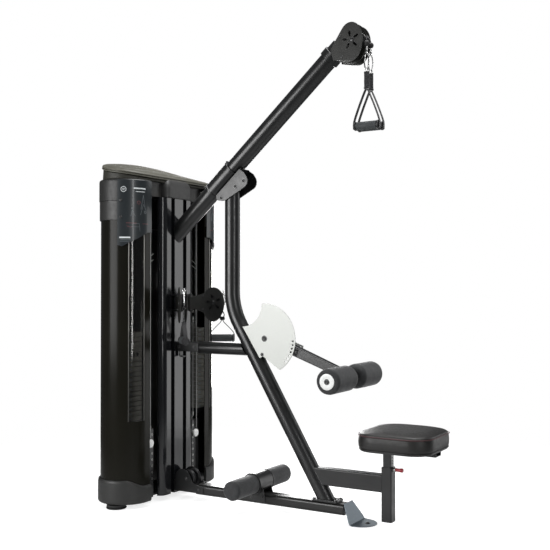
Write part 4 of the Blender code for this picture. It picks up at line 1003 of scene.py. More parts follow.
def main_tubes():
    path = upright_path(1.52)
    under = (boom_point(0) + BOOM_DOWN * 0.0535, BOOM_DOWN)
    foot = (Vector((0, 0, RAIL_HIGH.z + 0.0095)), Vector((0, 0, 1)))
    tube = tube_between_planes(path, TUBE_R, 48, (under, foot))
    flange = plate([rounded(0.065, 0.038, 0.006, 4, (0.990, 0))], "z", RAIL_HIGH.z + 0.0003,
                   RAIL_HIGH.z + 0.010, 0.0012)
    bead = []
    for i in range(60):
        t = tau * i / 60
        swell = 0.0032 * (0.85 + 0.25 * abs(sin(t * 11)))
        stretch = 1 / cos(LEAN)
        out = Vector((cos(t) * stretch, sin(t), 0))
        spot = Vector((UPRIGHT_FOOT.x, 0, RAIL_HIGH.z + 0.010))
        bead.append([spot + out * (TUBE_R - 0.002), spot + out * (TUBE_R + swell),
                     spot + out * (TUBE_R + swell * 0.4) + Vector((0, 0, swell * 0.8)),
                     spot + out * (TUBE_R - 0.002) + Vector((0, 0, swell))])
    piece("upright_tube", [tube, flange, loft(bead, closed=True)], "black_steel", stands_for=["upright"])

    wall = (Vector((WALL_X, 0, 0)), Vector((1, 0, 0)))
    boom = tube_between_planes([boom_point(0), boom_point(1.260)], BOOM_R, 56, (wall, None))
    collar = ring(boom_point(1.176), BOOM_ALONG,
                  [(0, BOOM_R - 0.001), (0, 0.0485), (0.0015, 0.0500), (0.0385, 0.0500), (0.040, 0.0485),
                   (0.040, BOOM_R - 0.001)], 56)
    piece("boom_tube", [boom, collar], "black_steel", stands_for=["boom"])

    length = 0.169
    sleeve = ring(boom_point(0.288), BOOM_ALONG,
                  [(0, 0.0434), (0, 0.0505), (0.0015, 0.0520), (0.0080, 0.0520), (0.0100, 0.0485),
                   (length - 0.0100, 0.0485), (length - 0.0080, 0.0520), (length - 0.0015, 0.0520),
                   (length, 0.0505), (length, 0.0434)], 56)
    lugs = []
    for along in (0.289, 0.449):
        spot = boom_point(along, 0.0515)
        corners = [spot, spot + BOOM_ALONG * 0.007, spot + BOOM_ALONG * 0.0065 - BOOM_DOWN * 0.005,
                   spot + BOOM_ALONG * 0.0005 - BOOM_DOWN * 0.005]
        lugs.append(plate([[(p.x, p.z) for p in corners]], "y", -0.010, 0.010, 0.0008))
    low, high = boom_point(0.309) + BOOM_DOWN * 0.049, boom_point(0.496) + BOOM_DOWN * 0.049
    outline = [(low.x, low.z), (0.385, 1.534), (0.395, 1.527), (0.424, 1.523), (0.436, 1.525),
               (0.552, 1.587), (0.560, 1.594), (0.566, 1.606), (0.568, 1.622), (0.564, 1.636),
               (0.548, 1.660), (high.x, high.z)]
    saddle = [plate([outline], "y", y, y + 0.006, 0.0010) for y in (-0.0465, 0.0405)]
    web = [boom_point(0.305, -0.0490), boom_point(0.305, -0.0530),
           boom_point(0.500, -0.0530), boom_point(0.500, -0.0490)]
    saddle.append(plate([[(p.x, p.z) for p in web]], "y", -0.041, 0.041, 0.0008))
    piece("boom_saddle", [sleeve, *lugs, *saddle], "black_steel", stands_for=["boom_sleeve"])
    bolts = []
    for x, z in ((0.414, 1.540), (0.498, 1.592), (0.546, 1.618)):
        bolts += bolt_pair(x, 0.0464, z, 0.0072, 0.0052)
    for x in (0.932, 1.045):
        for y in (-0.026, 0.026):
            bolts.append(hex_bolt((x, y, RAIL_HIGH.z + 0.010), (0, 0, 1), 0.0062, 0.0052))
    bolts.append(bolt(boom_point(1.196, 0.0499), -BOOM_DOWN, 0.0045, 0.0030))
    piece("frame_bolts", bolts, "dark_bolt")

    normal = Vector((cos(LEAN), 0, sin(LEAN)))
    touch = Vector((UPRIGHT_X + (BEND_Z - STRUT_Z) * LEAN_RUN, 0, STRUT_Z)) - normal * (TUBE_R - 0.004)
    strut = tube_between_planes([Vector((0.250, 0, STRUT_Z)), Vector((0.500, 0, STRUT_Z))], STRUT_R, 44,
                                (None, (touch, normal)))
    bracket = box((WALL_X, 0.262), (-0.036, 0.036), (STRUT_Z - 0.022, STRUT_Z + 0.026), 0.0030)
    hook = sweep([(0.129, 0, STRUT_Z - 0.018), (0.129, 0, STRUT_Z - 0.044), (0.131, 0, STRUT_Z - 0.049),
                  (0.136, 0, STRUT_Z - 0.0505), (0.151, 0, STRUT_Z - 0.0505)],
                 flat_strip(0.024, 0.006, 0.002))
    lip = box((0.256, 0.263), (-0.0365, 0.0365), (STRUT_Z - 0.0225, STRUT_Z + 0.0265), 0.0015)
    piece("strut_tube", [strut, bracket, hook, lip], "black_steel", stands_for=["mid_strut"])
    ends = bolt_pair(0.142, 0.0358, STRUT_Z + 0.002, 0.0070, 0.0052, hex_bolt)
    ends += bolt_pair(0.236, 0.0358, STRUT_Z + 0.002, 0.0050, 0.0040, hex_bolt)
    piece("strut_bolts", ends, "dark_bolt")


def base():
    """Rail with plugged ends, bent foot plate and its anchor."""
    half_y, half_z = RAIL_HIGH.y, (RAIL_HIGH.z - RAIL_LOW.z) / 2
    where = (0, (RAIL_HIGH.z + RAIL_LOW.z) / 2)
    rings = []
    ease = 0.0015
    for x, inset in ((RAIL_LOW.x, ease), (RAIL_LOW.x + ease, 0), (RAIL_HIGH.x - ease, 0),
                     (RAIL_HIGH.x, ease)):
        outline = rounded(half_y - inset, half_z - inset, 0.0160 - inset, 10, where)
        rings.append([(x, a, b) for a, b in outline])
    # The floor rail wears the shaded copy of the powder coat, a painted shade.
    piece("floor_rail", loft(rings), "rail_steel_shaded", stands_for=["base_rail"])

    thick, bend_x, tab_end = 0.004, 1.142, 1.237
    top = Vector((RAIL_HIGH.x + 0.0060, 0, 0.090))
    low = Vector((bend_x, 0, 0.0045))
    slope = (top - low).normalized()
    sections = []
    for t, half in ((0.0, 0.0780), (0.14, 0.0780), (0.34, 0.0700), (1.0, 0.0425)):
        sections.append((low + (top - low) * t, half))
    bend = [(Vector((bend_x + 0.016, 0, 0.002)), Vector((1, 0, 0)), 0.0775)]
    bend += [(Vector((bend_x + 0.008, 0, 0.0022)), Vector((1, 0, 0.02)), 0.0780),
             (Vector((bend_x + 0.001, 0, 0.0042)), Vector((0.8, 0, -0.55)), 0.0780)]
    rings = []
    for spot, along, half in bend + [(s, -slope, h) for s, h in sections]:
        normal = Vector((-along.z, 0, along.x)).normalized() * (thick / 2)
        if normal.z < 0:
            normal = -normal
        rings.append([spot + Vector((0, y, 0)) + normal * n for y, n in
                      ((-half, -0.7), (-half + 0.0008, -1), (half - 0.0008, -1), (half, -0.7),
                       (half, 0.7), (half - 0.0008, 1), (-half + 0.0008, 1), (-half, 0.7))])
    for spot in rings[0] + rings[1] + rings[2]:
        spot.z = max(spot.z, 0.0)
    reach = tab_end - bend_x - 0.012
    outline = [(bend_x + 0.010, -0.0768)]
    outline += [(bend_x + 0.012 + reach * cos(a), 0.0768 * sin(a)) for a in
                [-pi / 2 + pi * i / 36 for i in range(37)]]
    outline += [(bend_x + 0.010, 0.0768)]
    hole = arc((1.195, 0), 0.0065, 0, tau * 23 / 24, 23)
    tab = plate([outline, hole], "z", 0, thick, 0.0006)
    piece("floor_plate", [loft(rings), tab], "foot_silver", stands_for=["front_foot_plate"])
    piece("anchor_bolt", [bolt((1.195, 0, thick), (0, 0, 1), 0.0085, 0.0060),
                          rod((1.195, 0, 0.0006), (1.195, 0, 0.006), 0.0052, 20)], "dark_bolt")


# ---- pulleys -------------------------------------------------------------------------------
def egg(at, half, up, down):
    """Oval outline that reaches further down than up."""
    points = []
    for i in range(88):
        a = pi * i / 44
        points.append((at[0] + half * cos(a), at[1] + (up if sin(a) > 0 else down) * sin(a)))
    return points


def petals(at):
    """Five slots that widen outwards, spaced round a point."""
    near, far = 0.015, 0.044
    slots = []
    for k in range(5):
        t = radians(28 + 72 * k)
        out, aside = Vector((cos(t), sin(t))), Vector((-sin(t), cos(t)))
        shape = []
        for i in range(16):
            a = tau * i / 16
            r = (near + far) / 2 + (far - near) / 2 * cos(a)
            w = (0.0056 + 0.0018 * cos(a)) * sin(a)
            spot = Vector(at) + out * r + aside * w
            shape.append((spot.x, spot.y))
        slots.append(shape)
    return slots


def grooved_wheel(x, y, z, radius, width=0.020):
    """Moulded pulley: rounded rims, deep groove, dished web and hub."""
    half = width / 2
    profile = [(-half * 0.9, BORE_R), (-half, BORE_R + 0.0008), (-half, 0.0125), (-half * 0.45, 0.0145),
               (-half * 0.40, radius - 0.013), (-half * 0.85, radius - 0.010), (-half, radius - 0.008),
               (-half, radius - 0.0010), (-half * 0.88, radius)]
    groove = [(-0.0052, radius - 0.0012), (-0.0036, radius - 0.0050), (0.0, radius - 0.0064)]
    outline = profile + groove + [(-s, r) for s, r in groove[:2][::-1]] + [(-s, r) for s, r in profile[::-1]]
    return ring((x, y, z), (0, 1, 0), outline, 56)


def hull_outline(points):
    """Convex outline of points in a plane."""
    points = sorted(set((round(a, 6), round(b, 6)) for a, b in points))

    def half(run):
        chain = []
        for p in run:
            while len(chain) > 1 and ((chain[-1][0] - chain[-2][0]) * (p[1] - chain[-2][1])
                                      - (chain[-1][1] - chain[-2][1]) * (p[0] - chain[-2][0])) <= 0:
                chain.pop()
            chain.append(p)
        return chain[:-1]

    return half(points) + half(points[::-1])


def pulley_head():
    """Cheek plates with petal slots over two wheels, edge spacers and the cable on each wheel."""
    at = (HEAD.x, HEAD.z)
    body = egg(at, 0.061, 0.082, 0.101)
    tail = [(1.030, 2.205), (1.044, 2.152), (1.100, 2.140), (1.062, 2.243)]
    outline = hull_outline(body + tail)
    outer = 0.047
    plates = [plate([outline, *petals(at)], "y", low, low + 0.0034, 0.0007) for low in (-outer, 0.0436)]
    plates.append(plate([outline], "y", -0.0015, 0.0015, 0.0005))
    corners = ((1.080, 2.262), (1.088, 2.163))
    spacers = [axle(x, z, 0.0436, 0.0055, 20) for x, z in corners]
    piece("pulley_cheeks", plates + spacers, "black_sheet", stands_for=["pulley_head"])
    fasteners = [axle(WHEEL.x, WHEEL.z, outer, AXLE_R)]
    fasteners += bolt_pair(WHEEL.x, outer, WHEEL.z, 0.0085, 0.00425)
    for x, z in corners:
        fasteners += bolt_pair(x, outer, z, 0.0048, 0.0024)
    piece("pulley_bolts", fasteners, "dark_bolt")
    groove = 0.0462
    for name, side in SIDES.items():
        y = side * WHEEL_Y
        wheel = grooved_wheel(WHEEL.x, y, WHEEL.z, 0.050)
        piece(f"pulley_wheel_{name}", wheel, "black_nylon", f"top_wheel_{name}",
              stands_for=[f"top_pulley_{name}"])
        path = [Vector((1.040, y, 2.236)), Vector((1.070, y, 2.262))]
        path += [Vector((x, y, z))
                 for x, z in arc((WHEEL.x, WHEEL.z), groove, radians(140), radians(36), 16)]
        path += [Vector((1.1905, y, 2.256)), Vector((1.1990, y, 2.2435)), Vector((PULL_X, y, 2.2320))]
        piece(f"head_cable_{name}", sweep(path, disc(CABLE_R)), "cable_coat")
        free = rod((PULL_X, y, FREE_CABLE_END), (PULL_X, y, FREE_CABLE_TOP), CABLE_R, 12)
        cable = piece(f"free_cable_{name}", free, "cable_coat", None, stands_for=[f"pull_cable_{name}"])
        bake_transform(cable)


ALONG, FACE = Vector((1, 0, 0)), Vector((0, -1, 0))   # along a grip, and out of the hook's plane
GRIP_HALF = 0.052


def carabiner(x, y, top, bottom):
    """Swivel eye, oval body bar and sprung gate."""
    wire, eye_r = 0.0025, 0.0095
    eye_at = Vector((x, y, top - eye_r))
    eye = [eye_at + (FACE * cos(a) + Vector((0, 0, sin(a)))) * (eye_r - wire)
           for a in [tau * i / 20 for i in range(20)]]
    neck = Vector((x, y, top - 2 * eye_r + 0.0010))
    solids = [sweep(eye, disc(wire, 10), True, ALONG),
              turned(neck, (0, 0, -1),
                     [(-0.001, 0.0030), (0.001, 0.0052), (0.009, 0.0056), (0.011, 0.0040)], 24)]
    high, low = neck.z - 0.010, bottom
    mid, half = (high + low) / 2, (high - low) / 2 - 0.0032
    body = []
    for i in range(48):
        a = pi / 2 + tau * i / 48
        width = 0.0112 * (1 - 0.22 * max(sin(a), 0))
        bulge = abs(sin(a)) ** 0.75 * (1 if sin(a) > 0 else -1)
        body.append(Vector((x, y, mid + half * bulge)) + ALONG * width * cos(a))
    solids.append(sweep(body[43:] + body[:30], disc(0.0032), False, FACE))
    gate = [body[29] + Vector((0, 0, 0.001)), body[36], body[43] - Vector((0, 0, 0.001))]
    solids.append(sweep(gate, disc(0.0026), False, FACE))
    solids.append(rod(body[43] - FACE * 0.0040, body[43] + FACE * 0.0040, 0.0030, 16, 0.0006))
    return solids


def d_ring(x, y, z, half, along=ALONG):
    """D ring: straight bar above, bow below."""
    spot = Vector((x, y, z))
    path = [spot + along * (half * cos(a)) + Vector((0, 0, half * 0.85 * sin(a)))
            for a in [-pi * i / 16 for i in range(17)]]
    path += [spot + along * (half * t) for t in (-0.9, -0.45, 0.0, 0.45, 0.9)]
    return sweep(path, disc(0.0021, 10), True, along.cross(Vector((0, 0, 1))))


def strap_handle(x, y, apex, grip_z, strap_top):
    """Stitched webbing tab and the two webbing legs that spread to the grip's ends."""
    solids, stitches = [], []
    width = 0.025

    def spot(z):
        return Vector((x, y, z))

    tab = [spot(strap_top + (apex - strap_top) * i / 12) + FACE * 0.0006 * sin(i * 1.1) for i in range(13)]
    solids.append(sweep(tab, flat_strip(0.0052, width, 0.0012), side=FACE))
    for z in (strap_top - 0.004, apex + 0.004):
        solids.append(rod(spot(z) - ALONG * width / 2, spot(z) + ALONG * width / 2, 0.00425, 16, 0.0012))
    for z in (strap_top - 0.014, strap_top - 0.018, apex + 0.018, apex + 0.014):
        for k in range(7):
            for front in (-1, 1):
                start = spot(z) + ALONG * (width * 0.80 * (k / 6 - 0.5) - 0.0011) + FACE * front * 0.0027
                stitches.append(rod(start, start + ALONG * 0.0022, 0.00042, 6))
    top, foot = apex - 0.014, GRIP_HALF + 0.0125
    leg = [(0.003, apex - 0.002), (0.010, top)]
    for i in range(1, 9):
        t = i / 9
        leg.append((0.010 + 0.0525 * t + 0.0016 * sin(pi * t), top + (grip_z + 0.026 - top) * t))
    leg += [(foot - 0.0006, grip_z + 0.019)]
    leg += [(foot, grip_z + above) for above in (0.006, -0.006, -0.015)]
    for sign in (-1, 1):
        path = [spot(z) + ALONG * (sign * out) for out, z in leg]
        solids.append(sweep(path, flat_strip(0.0190, 0.0034, 0.0012), side=FACE))
    return solids, stitches


def grip(x, y, z):
    """Rubber grip with shallow rings and a disc at each end."""
    h = GRIP_HALF
    profile = [(-h + 0.0005, 0.0150), (-h + 0.002, 0.0180), (-h + 0.006, 0.0190)]
    for i in range(9):
        s = -h + 0.012 + (2 * h - 0.024) * i / 8
        profile += [(s - 0.0008, 0.0189), (s, 0.0184), (s + 0.0008, 0.0189)]
    profile += [(h - 0.006, 0.0190), (h - 0.002, 0.0180), (h - 0.0005, 0.0150)]
    rim = [(-0.0003, 0.0170), (0.0003, 0.0196), (0.0020, 0.0205), (0.0080, 0.0205), (0.0098, 0.0192),
           (0.0100, 0.0100)]
    discs = [turned((x + sign * h, y, z), ALONG * sign, rim, 40) for sign in (-1, 1)]
    return [turned((x, y, z), ALONG, profile, 48)], discs


def handles():
    """What hangs from each top wheel: ball stop, hook, strap and turning grip."""
    for name, side in SIDES.items():
        y = side * WHEEL_Y
        ball = turned((PULL_X, y, 2.215), (0, 0, 1),
                      [(-0.0140 * cos(pi * i / 14), max(0.0140 * sin(pi * i / 14), 0.0030))
                       for i in range(15)], 32)
        piece(f"ball_stop_{name}", ball, "black_rubber", f"pull_{name}")
        hook = carabiner(PULL_X, y, 2.203, 2.0912)
        piece(f"spring_hook_{name}", hook, "chrome", f"pull_{name}", stands_for=[f"snap_hook_{name}"])
        solids, stitches = strap_handle(PULL_X, y, 2.006, GRIP_Z, 2.0850)
        piece(f"handle_webbing_{name}", solids, "black_webbing", f"handle_{name}",
              stands_for=[f"handle_strap_{name}"])
        piece(f"handle_stitches_{name}", stitches, "print_grey", f"handle_{name}")
        rings = [d_ring(PULL_X, y, 2.0105, 0.0132), d_ring(PULL_X, y, 2.0997, 0.0165, Vector((0, 1, 0)))]
        piece(f"handle_rings_{name}", rings, "chrome", f"handle_{name}")
        body, discs = grip(PULL_X, y, GRIP_Z)
        piece(f"grip_sleeve_{name}", body, "grip_rubber", f"grip_{name}",
              stands_for=[f"handle_grip_{name}"])
        piece(f"grip_discs_{name}", discs, "black_nylon", f"grip_{name}")


def mid_pulleys():
    """Swivelling pulley blocks with their hanging handles."""
    for name, side in SIDES.items():
        pivot = Vector((MID_PIVOT_X, side * MID_PIVOT_Y, 0))
        angle = MID_ANGLES[name]

        def placed(solids):
            for solid in solids:
                bmesh.ops.translate(solid, verts=solid.verts, vec=pivot)
                bmesh.ops.rotate(solid, verts=solid.verts, cent=pivot, matrix=Matrix.Rotation(angle, 3, "Z"))
            return solids

        at = (MID_REACH, MID_Z)
        tail = [(0.0, MID_Z - 0.033), (0.022, MID_Z - 0.033), (0.085, MID_Z - 0.060), (0.085, MID_Z + 0.055),
                (0.022, MID_Z + 0.033), (0.0, MID_Z + 0.033)]
        neck = [(0.078, MID_Z - 0.050), (0.078, MID_Z + 0.050)]
        outline = hull_outline(egg(at, 0.0585, 0.080, 0.100) + neck)
        plates = []
        for low in (-0.0175, 0.0140):
            plates.append(plate([outline, *petals(at)], "y", low, low + 0.0035, 0.0007))
            plates.append(plate([tail], "y", low + 0.0002, low + 0.0033, 0.0006))
        plates.append(box((-0.006, 0.050), (-0.0150, 0.0150), (MID_Z - 0.034, MID_Z + 0.034), 0.002))
        plates.append(ring((0, 0, MID_Z - 0.0345), (0, 0, 1),
                           [(0, BORE_R), (0, 0.0165), (0.001, 0.0175), (0.068, 0.0175), (0.069, 0.0165),
                            (0.069, BORE_R)], 36))
        piece(f"mid_cheeks_{name}", placed(plates), "black_sheet", f"mid_block_{name}",
              stands_for=[f"mid_housing_{name}"])
        pins = [axle(MID_REACH, MID_Z, 0.0175, AXLE_R)] + bolt_pair(MID_REACH, 0.0175, MID_Z, 0.0080, 0.0040)
        for z in (MID_Z - 0.034, MID_Z + 0.034):
            pins += bolt_pair(0.064, 0.0175, z, 0.0045, 0.0030)
        piece(f"mid_bolts_{name}", placed(pins), "dark_bolt", f"mid_block_{name}")
        wheel = placed([grooved_wheel(MID_REACH, 0, MID_Z, 0.046)])
        piece(f"mid_wheel_disc_{name}", wheel, "black_nylon", f"mid_wheel_{name}",
              stands_for=[f"mid_pulley_{name}"])
        groove = 0.0422
        path = [Vector((0.052, 0, MID_Z + 0.030)), Vector((0.080, 0, MID_Z + 0.036))]
        path += [Vector((x, 0, z)) for x, z in arc(at, groove, radians(118), radians(6), 14)]
        path += [Vector((MID_DROP - 0.0035, 0, MID_Z - 0.004)), Vector((MID_DROP, 0, MID_Z - 0.012)),
                 Vector((MID_DROP, 0, 0.9935))]
        piece(f"mid_cable_{name}", placed([sweep(path, disc(CABLE_R))]), "cable_coat", f"mid_block_{name}")
        shackle = carabiner(MID_DROP + 0.006, 0, 1.083, 0.9945)
        piece(f"mid_shackle_{name}", placed(shackle), "chrome", f"mid_block_{name}")

        x, grip_z, apex = MID_DROP, 0.824, 0.925
        hook = carabiner(x, 0, 0.9925, 0.9270)
        swinging = f"mid_stirrup_{name}"
        piece(f"mid_hook_{name}", placed(hook), "dark_bolt", swinging)
        solids, stitches = strap_handle(x, 0, apex - 0.006, grip_z, apex + 0.010)
        piece(f"mid_webbing_{name}", placed(solids), "black_webbing", swinging,
              stands_for=[f"mid_handle_{name}"])
        for solid in stitches:
            solid.free()                      # too small to see on these straps
        piece(f"mid_rings_{name}", placed([d_ring(x, 0, apex + 0.004, 0.0125)]), "chrome", swinging)
        body, discs = grip(x, 0, grip_z)
        piece(f"mid_grip_{name}", placed(body), "grip_rubber", swinging)
        piece(f"mid_grip_discs_{name}", placed(discs), "black_nylon", swinging)


def low_pulleys():
    """Bracket at the column's foot with its double wheel."""
    outline = arc((0.172, LOW_WHEEL.z), 0.047, radians(20), radians(200), 24)
    outline += [(WALL_X, 0.085), (WALL_X, 0.040), (0.300, 0.040), (0.300, 0.074), (0.235, 0.088)]
    cheeks = [plate([outline], "y", low, low + 0.003, 0.0006) for low in (-0.0416, 0.0386)]
    cheeks.append(box((WALL_X, 0.1222), (-0.0390, 0.0390), (0.042, 0.095), 0.001))
    piece("low_bracket", cheeks, "black_steel", stands_for=["low_pulley_bracket"])
    pins = [axle(LOW_WHEEL.x, LOW_WHEEL.z, 0.0416, AXLE_R, 20)]
    pins += bolt_pair(LOW_WHEEL.x, 0.0416, LOW_WHEEL.z, 0.0075, 0.0045)
    pins += bolt_pair(0.272, 0.0416, 0.058, 0.0055, 0.0040)
    piece("low_bolts", pins, "dark_bolt")
    wheels = [grooved_wheel(LOW_WHEEL.x, side * 0.0205, LOW_WHEEL.z, 0.042, 0.018) for side in SIDES.values()]
    wheels.append(ring((LOW_WHEEL.x, -0.012, LOW_WHEEL.z), (0, 1, 0),
                       [(0, BORE_R), (0.024, BORE_R), (0.024, 0.0155), (0, 0.0155)], 32))
    piece("low_wheels", wheels, "black_nylon", "low_wheel", stands_for=["low_pulley"])


# ---- body supports --------------------------------------------------------------------------
def quadrant():
    """Silver fan plate, a smaller one behind that carries the pin, their web and the pivot bolt."""
    heel = [(-0.0095, -0.0855), (-0.016, -0.0900), (-0.027, -0.0965), (-0.127, 0.056)]
    fan_r, far_r, hole_row_r, hole_r = 0.172, 0.121, 0.159, 0.0052

    def bow(radius, start, end, steps, at=(0, 0)):
        return arc(at, radius, radians(start), radians(end), steps)

    waist, waist_r = (-0.130, 0.170), 0.114
    near = bow(fan_r, 95, -60, 60) + heel + bow(waist_r, -86, -4, 20, waist)
    far = bow(far_r, 95, -8, 40) + bow(fan_r, -11.5, -33, 12) + bow(far_r, -36.5, -60, 12)
    far += heel + bow(waist_r, -86, -28, 16, waist)
    holes = []
    for i in range(7):
        a = radians(-3.0 - 6.4 * i)
        holes.append(arc((PIVOT.x + hole_row_r * cos(a), PIVOT.z + hole_row_r * sin(a)), hole_r, 0,
                         tau * 19 / 20, 19))
    plates = []
    for outline, low, wanted in ((near, -0.0455, holes), (far, 0.0415, holes[2:5])):
        outline = [(PIVOT.x + x, PIVOT.z + z) for x, z in outline]
        plates.append(plate([outline, *wanted], "y", low, low + 0.004, 0.0007))
    along, normal = Vector((-sin(LEAN), cos(LEAN))), Vector((cos(LEAN), sin(LEAN)))
    reach = (PIVOT.x - UPRIGHT_X) * cos(LEAN) - (BEND_Z - PIVOT.z) * sin(LEAN) - TUBE_R - 0.0003
    corners = [(-reach, -0.062), (-reach, 0.104), (-reach + 0.005, 0.104), (-reach + 0.005, -0.062)]
    web = [(PIVOT.x + normal.x * a + along.x * t, PIVOT.z + normal.y * a + along.y * t) for a, t in corners]
    plates.append(plate([web], "y", -0.0425, 0.0425, 0.0008))
    piece("fan_plates", plates, "silver_plate", stands_for=["quadrant_plates"])
    fasteners = [axle(PIVOT.x, PIVOT.z, 0.0455, 0.0090)]
    fasteners += bolt_pair(PIVOT.x, 0.0455, PIVOT.z, 0.0105, 0.0075)
    fasteners += bolt_pair(0.654, 0.0455, 0.762, 0.0062, 0.0045)
    piece("fan_bolts", fasteners, "dark_bolt")


def bumpy(solid, amount, scale, seed):
    """Soft dents in a foam surface."""
    for v in solid.verts:
        away = noise.noise(v.co * scale + Vector((seed, 0, 0)))
        v.co += v.normal * amount * away
    return solid


def foam_roller(start, direction, profile, longest, seed):
    """Foam sleeve: profile of (distance, radius) split so that no stretch is longer than about
    longest, with slight dents."""
    fine = []
    for (s0, r0), (s1, r1) in zip(profile, profile[1:]):
        count = max(1, round(abs(s1 - s0) / longest))
        fine += [(s0 + (s1 - s0) * i / count, r0 + (r1 - r0) * i / count) for i in range(count)]
    fine.append(profile[-1])
    solid = ring(start, direction, fine, 72)
    solid.normal_update()
    return bumpy(solid, 0.0008, 26, seed)


def thigh_support():
    """Rectangular arm, hub, capped axle and the two foam rollers."""
    along = (THIGH - PIVOT)
    along.y = 0
    along.normalize()
    up = Vector((-along.z, 0, along.x))
    roller = Vector((THIGH.x, 0, THIGH.z))
    rings = []
    for spot, half_h in ((PIVOT, 0.026), (roller, 0.020)):
        outline = rounded(half_h, 0.020, 0.0055, 6)
        rings.append([spot + up * a + Vector((0, b, 0)) for a, b in outline])
    arm = [loft(rings)]
    arm.append(ring((PIVOT.x, -0.041, PIVOT.z), (0, 1, 0),
                    [(0, 0.0094), (0, 0.0245), (0.0015, 0.0260), (0.0805, 0.0260), (0.082, 0.0245),
                     (0.082, 0.0094)], 48))
    arm.append(axle(THIGH.x, THIGH.z, 0.028, 0.0300, 48, 0.0015))
    arm.append(axle(THIGH.x, THIGH.z, 0.2415, 0.0125, 32))
    piece("thigh_lever", arm, "black_steel", "thigh", stands_for=["thigh_arm"])
    caps = []
    bolts = bolt_pair(THIGH.x, THIGH_HALF + 0.0030, THIGH.z, 0.0092, 0.0058)
    cap = [(-0.004, 0.0290), (0.0, 0.0345), (0.0015, 0.0365), (0.0030, 0.0362), (0.0042, 0.0340),
           (0.0038, 0.0200), (0.0032, 0.0150)]
    length = THIGH_HALF - 0.0285
    for name, side in SIDES.items():
        start = (THIGH.x, side * (THIGH_HALF + 0.0002), THIGH.z)
        caps.append(turned(start, (0, side, 0), cap, 56))
        profile = [(0.0, 0.0131), (0.0, 0.040), (0.0015, 0.0445), (0.005, 0.0485), (0.010, 0.0530),
                   (0.016, 0.0567), (0.024, THIGH_R), (length - 0.016, THIGH_R),
                   (length - 0.009, THIGH_R - 0.0015), (length - 0.004, THIGH_R - 0.0052),
                   (length - 0.001, 0.0480), (length, 0.0440), (length - 0.0010, 0.0385),
                   (length - 0.0030, 0.0370), (length - 0.0035, 0.0131)]
        roller_pad = piece(f"thigh_foam_{name}",
                           foam_roller((THIGH.x, side * 0.0285, THIGH.z), (0, side, 0), profile, 0.006,
                                       3 + side),
                           "charcoal_foam", f"thigh_roll_{name}", stands_for=[f"thigh_pad_{name}"])
    piece("thigh_caps", caps, "cap_white", "thigh")
    piece("thigh_cap_bolts", bolts, "dark_bolt", "thigh")
    pin = centre("thigh_pin")
    y0 = limits("thigh_pin")[0].y
    solid = turned((pin.x, y0, pin.z), (0, 1, 0),
                   [(0, 0.0025), (0.001, 0.0040), (0.0258, 0.0040), (0.0260, 0.0105), (0.0275, 0.0120),
                    (0.033, 0.0095), (0.038, 0.0100), (0.044, 0.0138), (0.048, 0.0138), (0.0505, 0.0118),
                    (0.0520, 0.0080)], 36)
    piece("hitch_pin", solid, "chrome", "thigh_lock", stands_for=["thigh_pin"])


def foot_support():
    """Foam roller through a banded sleeve on two flared cheeks."""
    h = FOOT_HALF
    profile = [(-h, 0.0150), (-h, 0.0330), (-h + 0.0015, 0.0375), (-h + 0.005, 0.0420), (-h + 0.012, 0.0458),
               (-h + 0.020, FOOT_R), (-0.068, FOOT_R), (-0.064, FOOT_R - 0.0006), (0.064, FOOT_R - 0.0006),
               (0.068, FOOT_R), (h - 0.020, FOOT_R), (h - 0.012, 0.0458), (h - 0.005, 0.0420),
               (h - 0.0015, 0.0375), (h, 0.0330), (h, 0.0150)]
    foam = foam_roller((FOOT.x, 0, FOOT.z), (0, 1, 0), profile, 0.007, 9)
    roller = piece("foot_foam", foam, "charcoal_foam", stands_for=["foot_roller"])
    plug = [(-0.003, 0.0170), (0.0002, 0.0185), (0.0008, 0.0180), (0.0009, 0.0060)]
    ends = [turned((FOOT.x, side * (h - 0.001), FOOT.z), (0, side, 0), plug, 40) for side in SIDES.values()]
    piece("foot_roller_plugs", ends, "black_nylon")
    inner = FOOT_R + 0.0003
    profile = [(-0.066, inner), (-0.066, 0.0518), (-0.0650, 0.0530), (-0.0590, 0.0530), (-0.0572, 0.0505),
               (0.0572, 0.0505), (0.0590, 0.0530), (0.0650, 0.0530), (0.066, 0.0518), (0.066, inner)]
    sleeve = ring((FOOT.x, 0, FOOT.z), (0, 1, 0), profile, 64)
    around = arc((FOOT.x, FOOT.z), 0.0502, radians(196), radians(-20 + 360), 28)
    outline = [(0.572, 0.047), (0.574, 0.045), (0.636, 0.040), (0.648, 0.036), (0.660, 0.036), (0.668, 0.042),
               (0.671, 0.052), (0.668, 0.070), (0.659, 0.098)]
    outline += around[::-1]
    cheeks = [plate([outline], "y", low, low + 0.003, 0.0006) for low in (-0.0416, 0.0386)]
    piece("roller_cradle", [sleeve, *cheeks], "black_steel", stands_for=["foot_saddle"])
    bolts = bolt_pair(0.655, 0.0416, 0.066, 0.0060, 0.0042) + bolt_pair(0.590, 0.0416, 0.062, 0.0060, 0.0042)
    piece("cradle_bolts", bolts, "dark_bolt")


def square_tube(x, z0, z1, half, wall, corner):
    """Upright square tube with a bore."""
    outer = rounded(half, half, corner, 6, (x, 0))
    inner = rounded(half - wall, half - wall, max(corner - wall, 0.001), 6, (x, 0))
    rings = [[(a, b, z0) for a, b in outer], [(a, b, z1 - 0.0008) for a, b in outer]]
    soft = rounded(half - 0.0008, half - 0.0008, corner, 6, (x, 0))
    rings += [[(a, b, z1) for a, b in soft], [(a, b, z1) for a, b in inner], [(a, b, z0) for a, b in inner]]
    return loft(rings, closed=True)


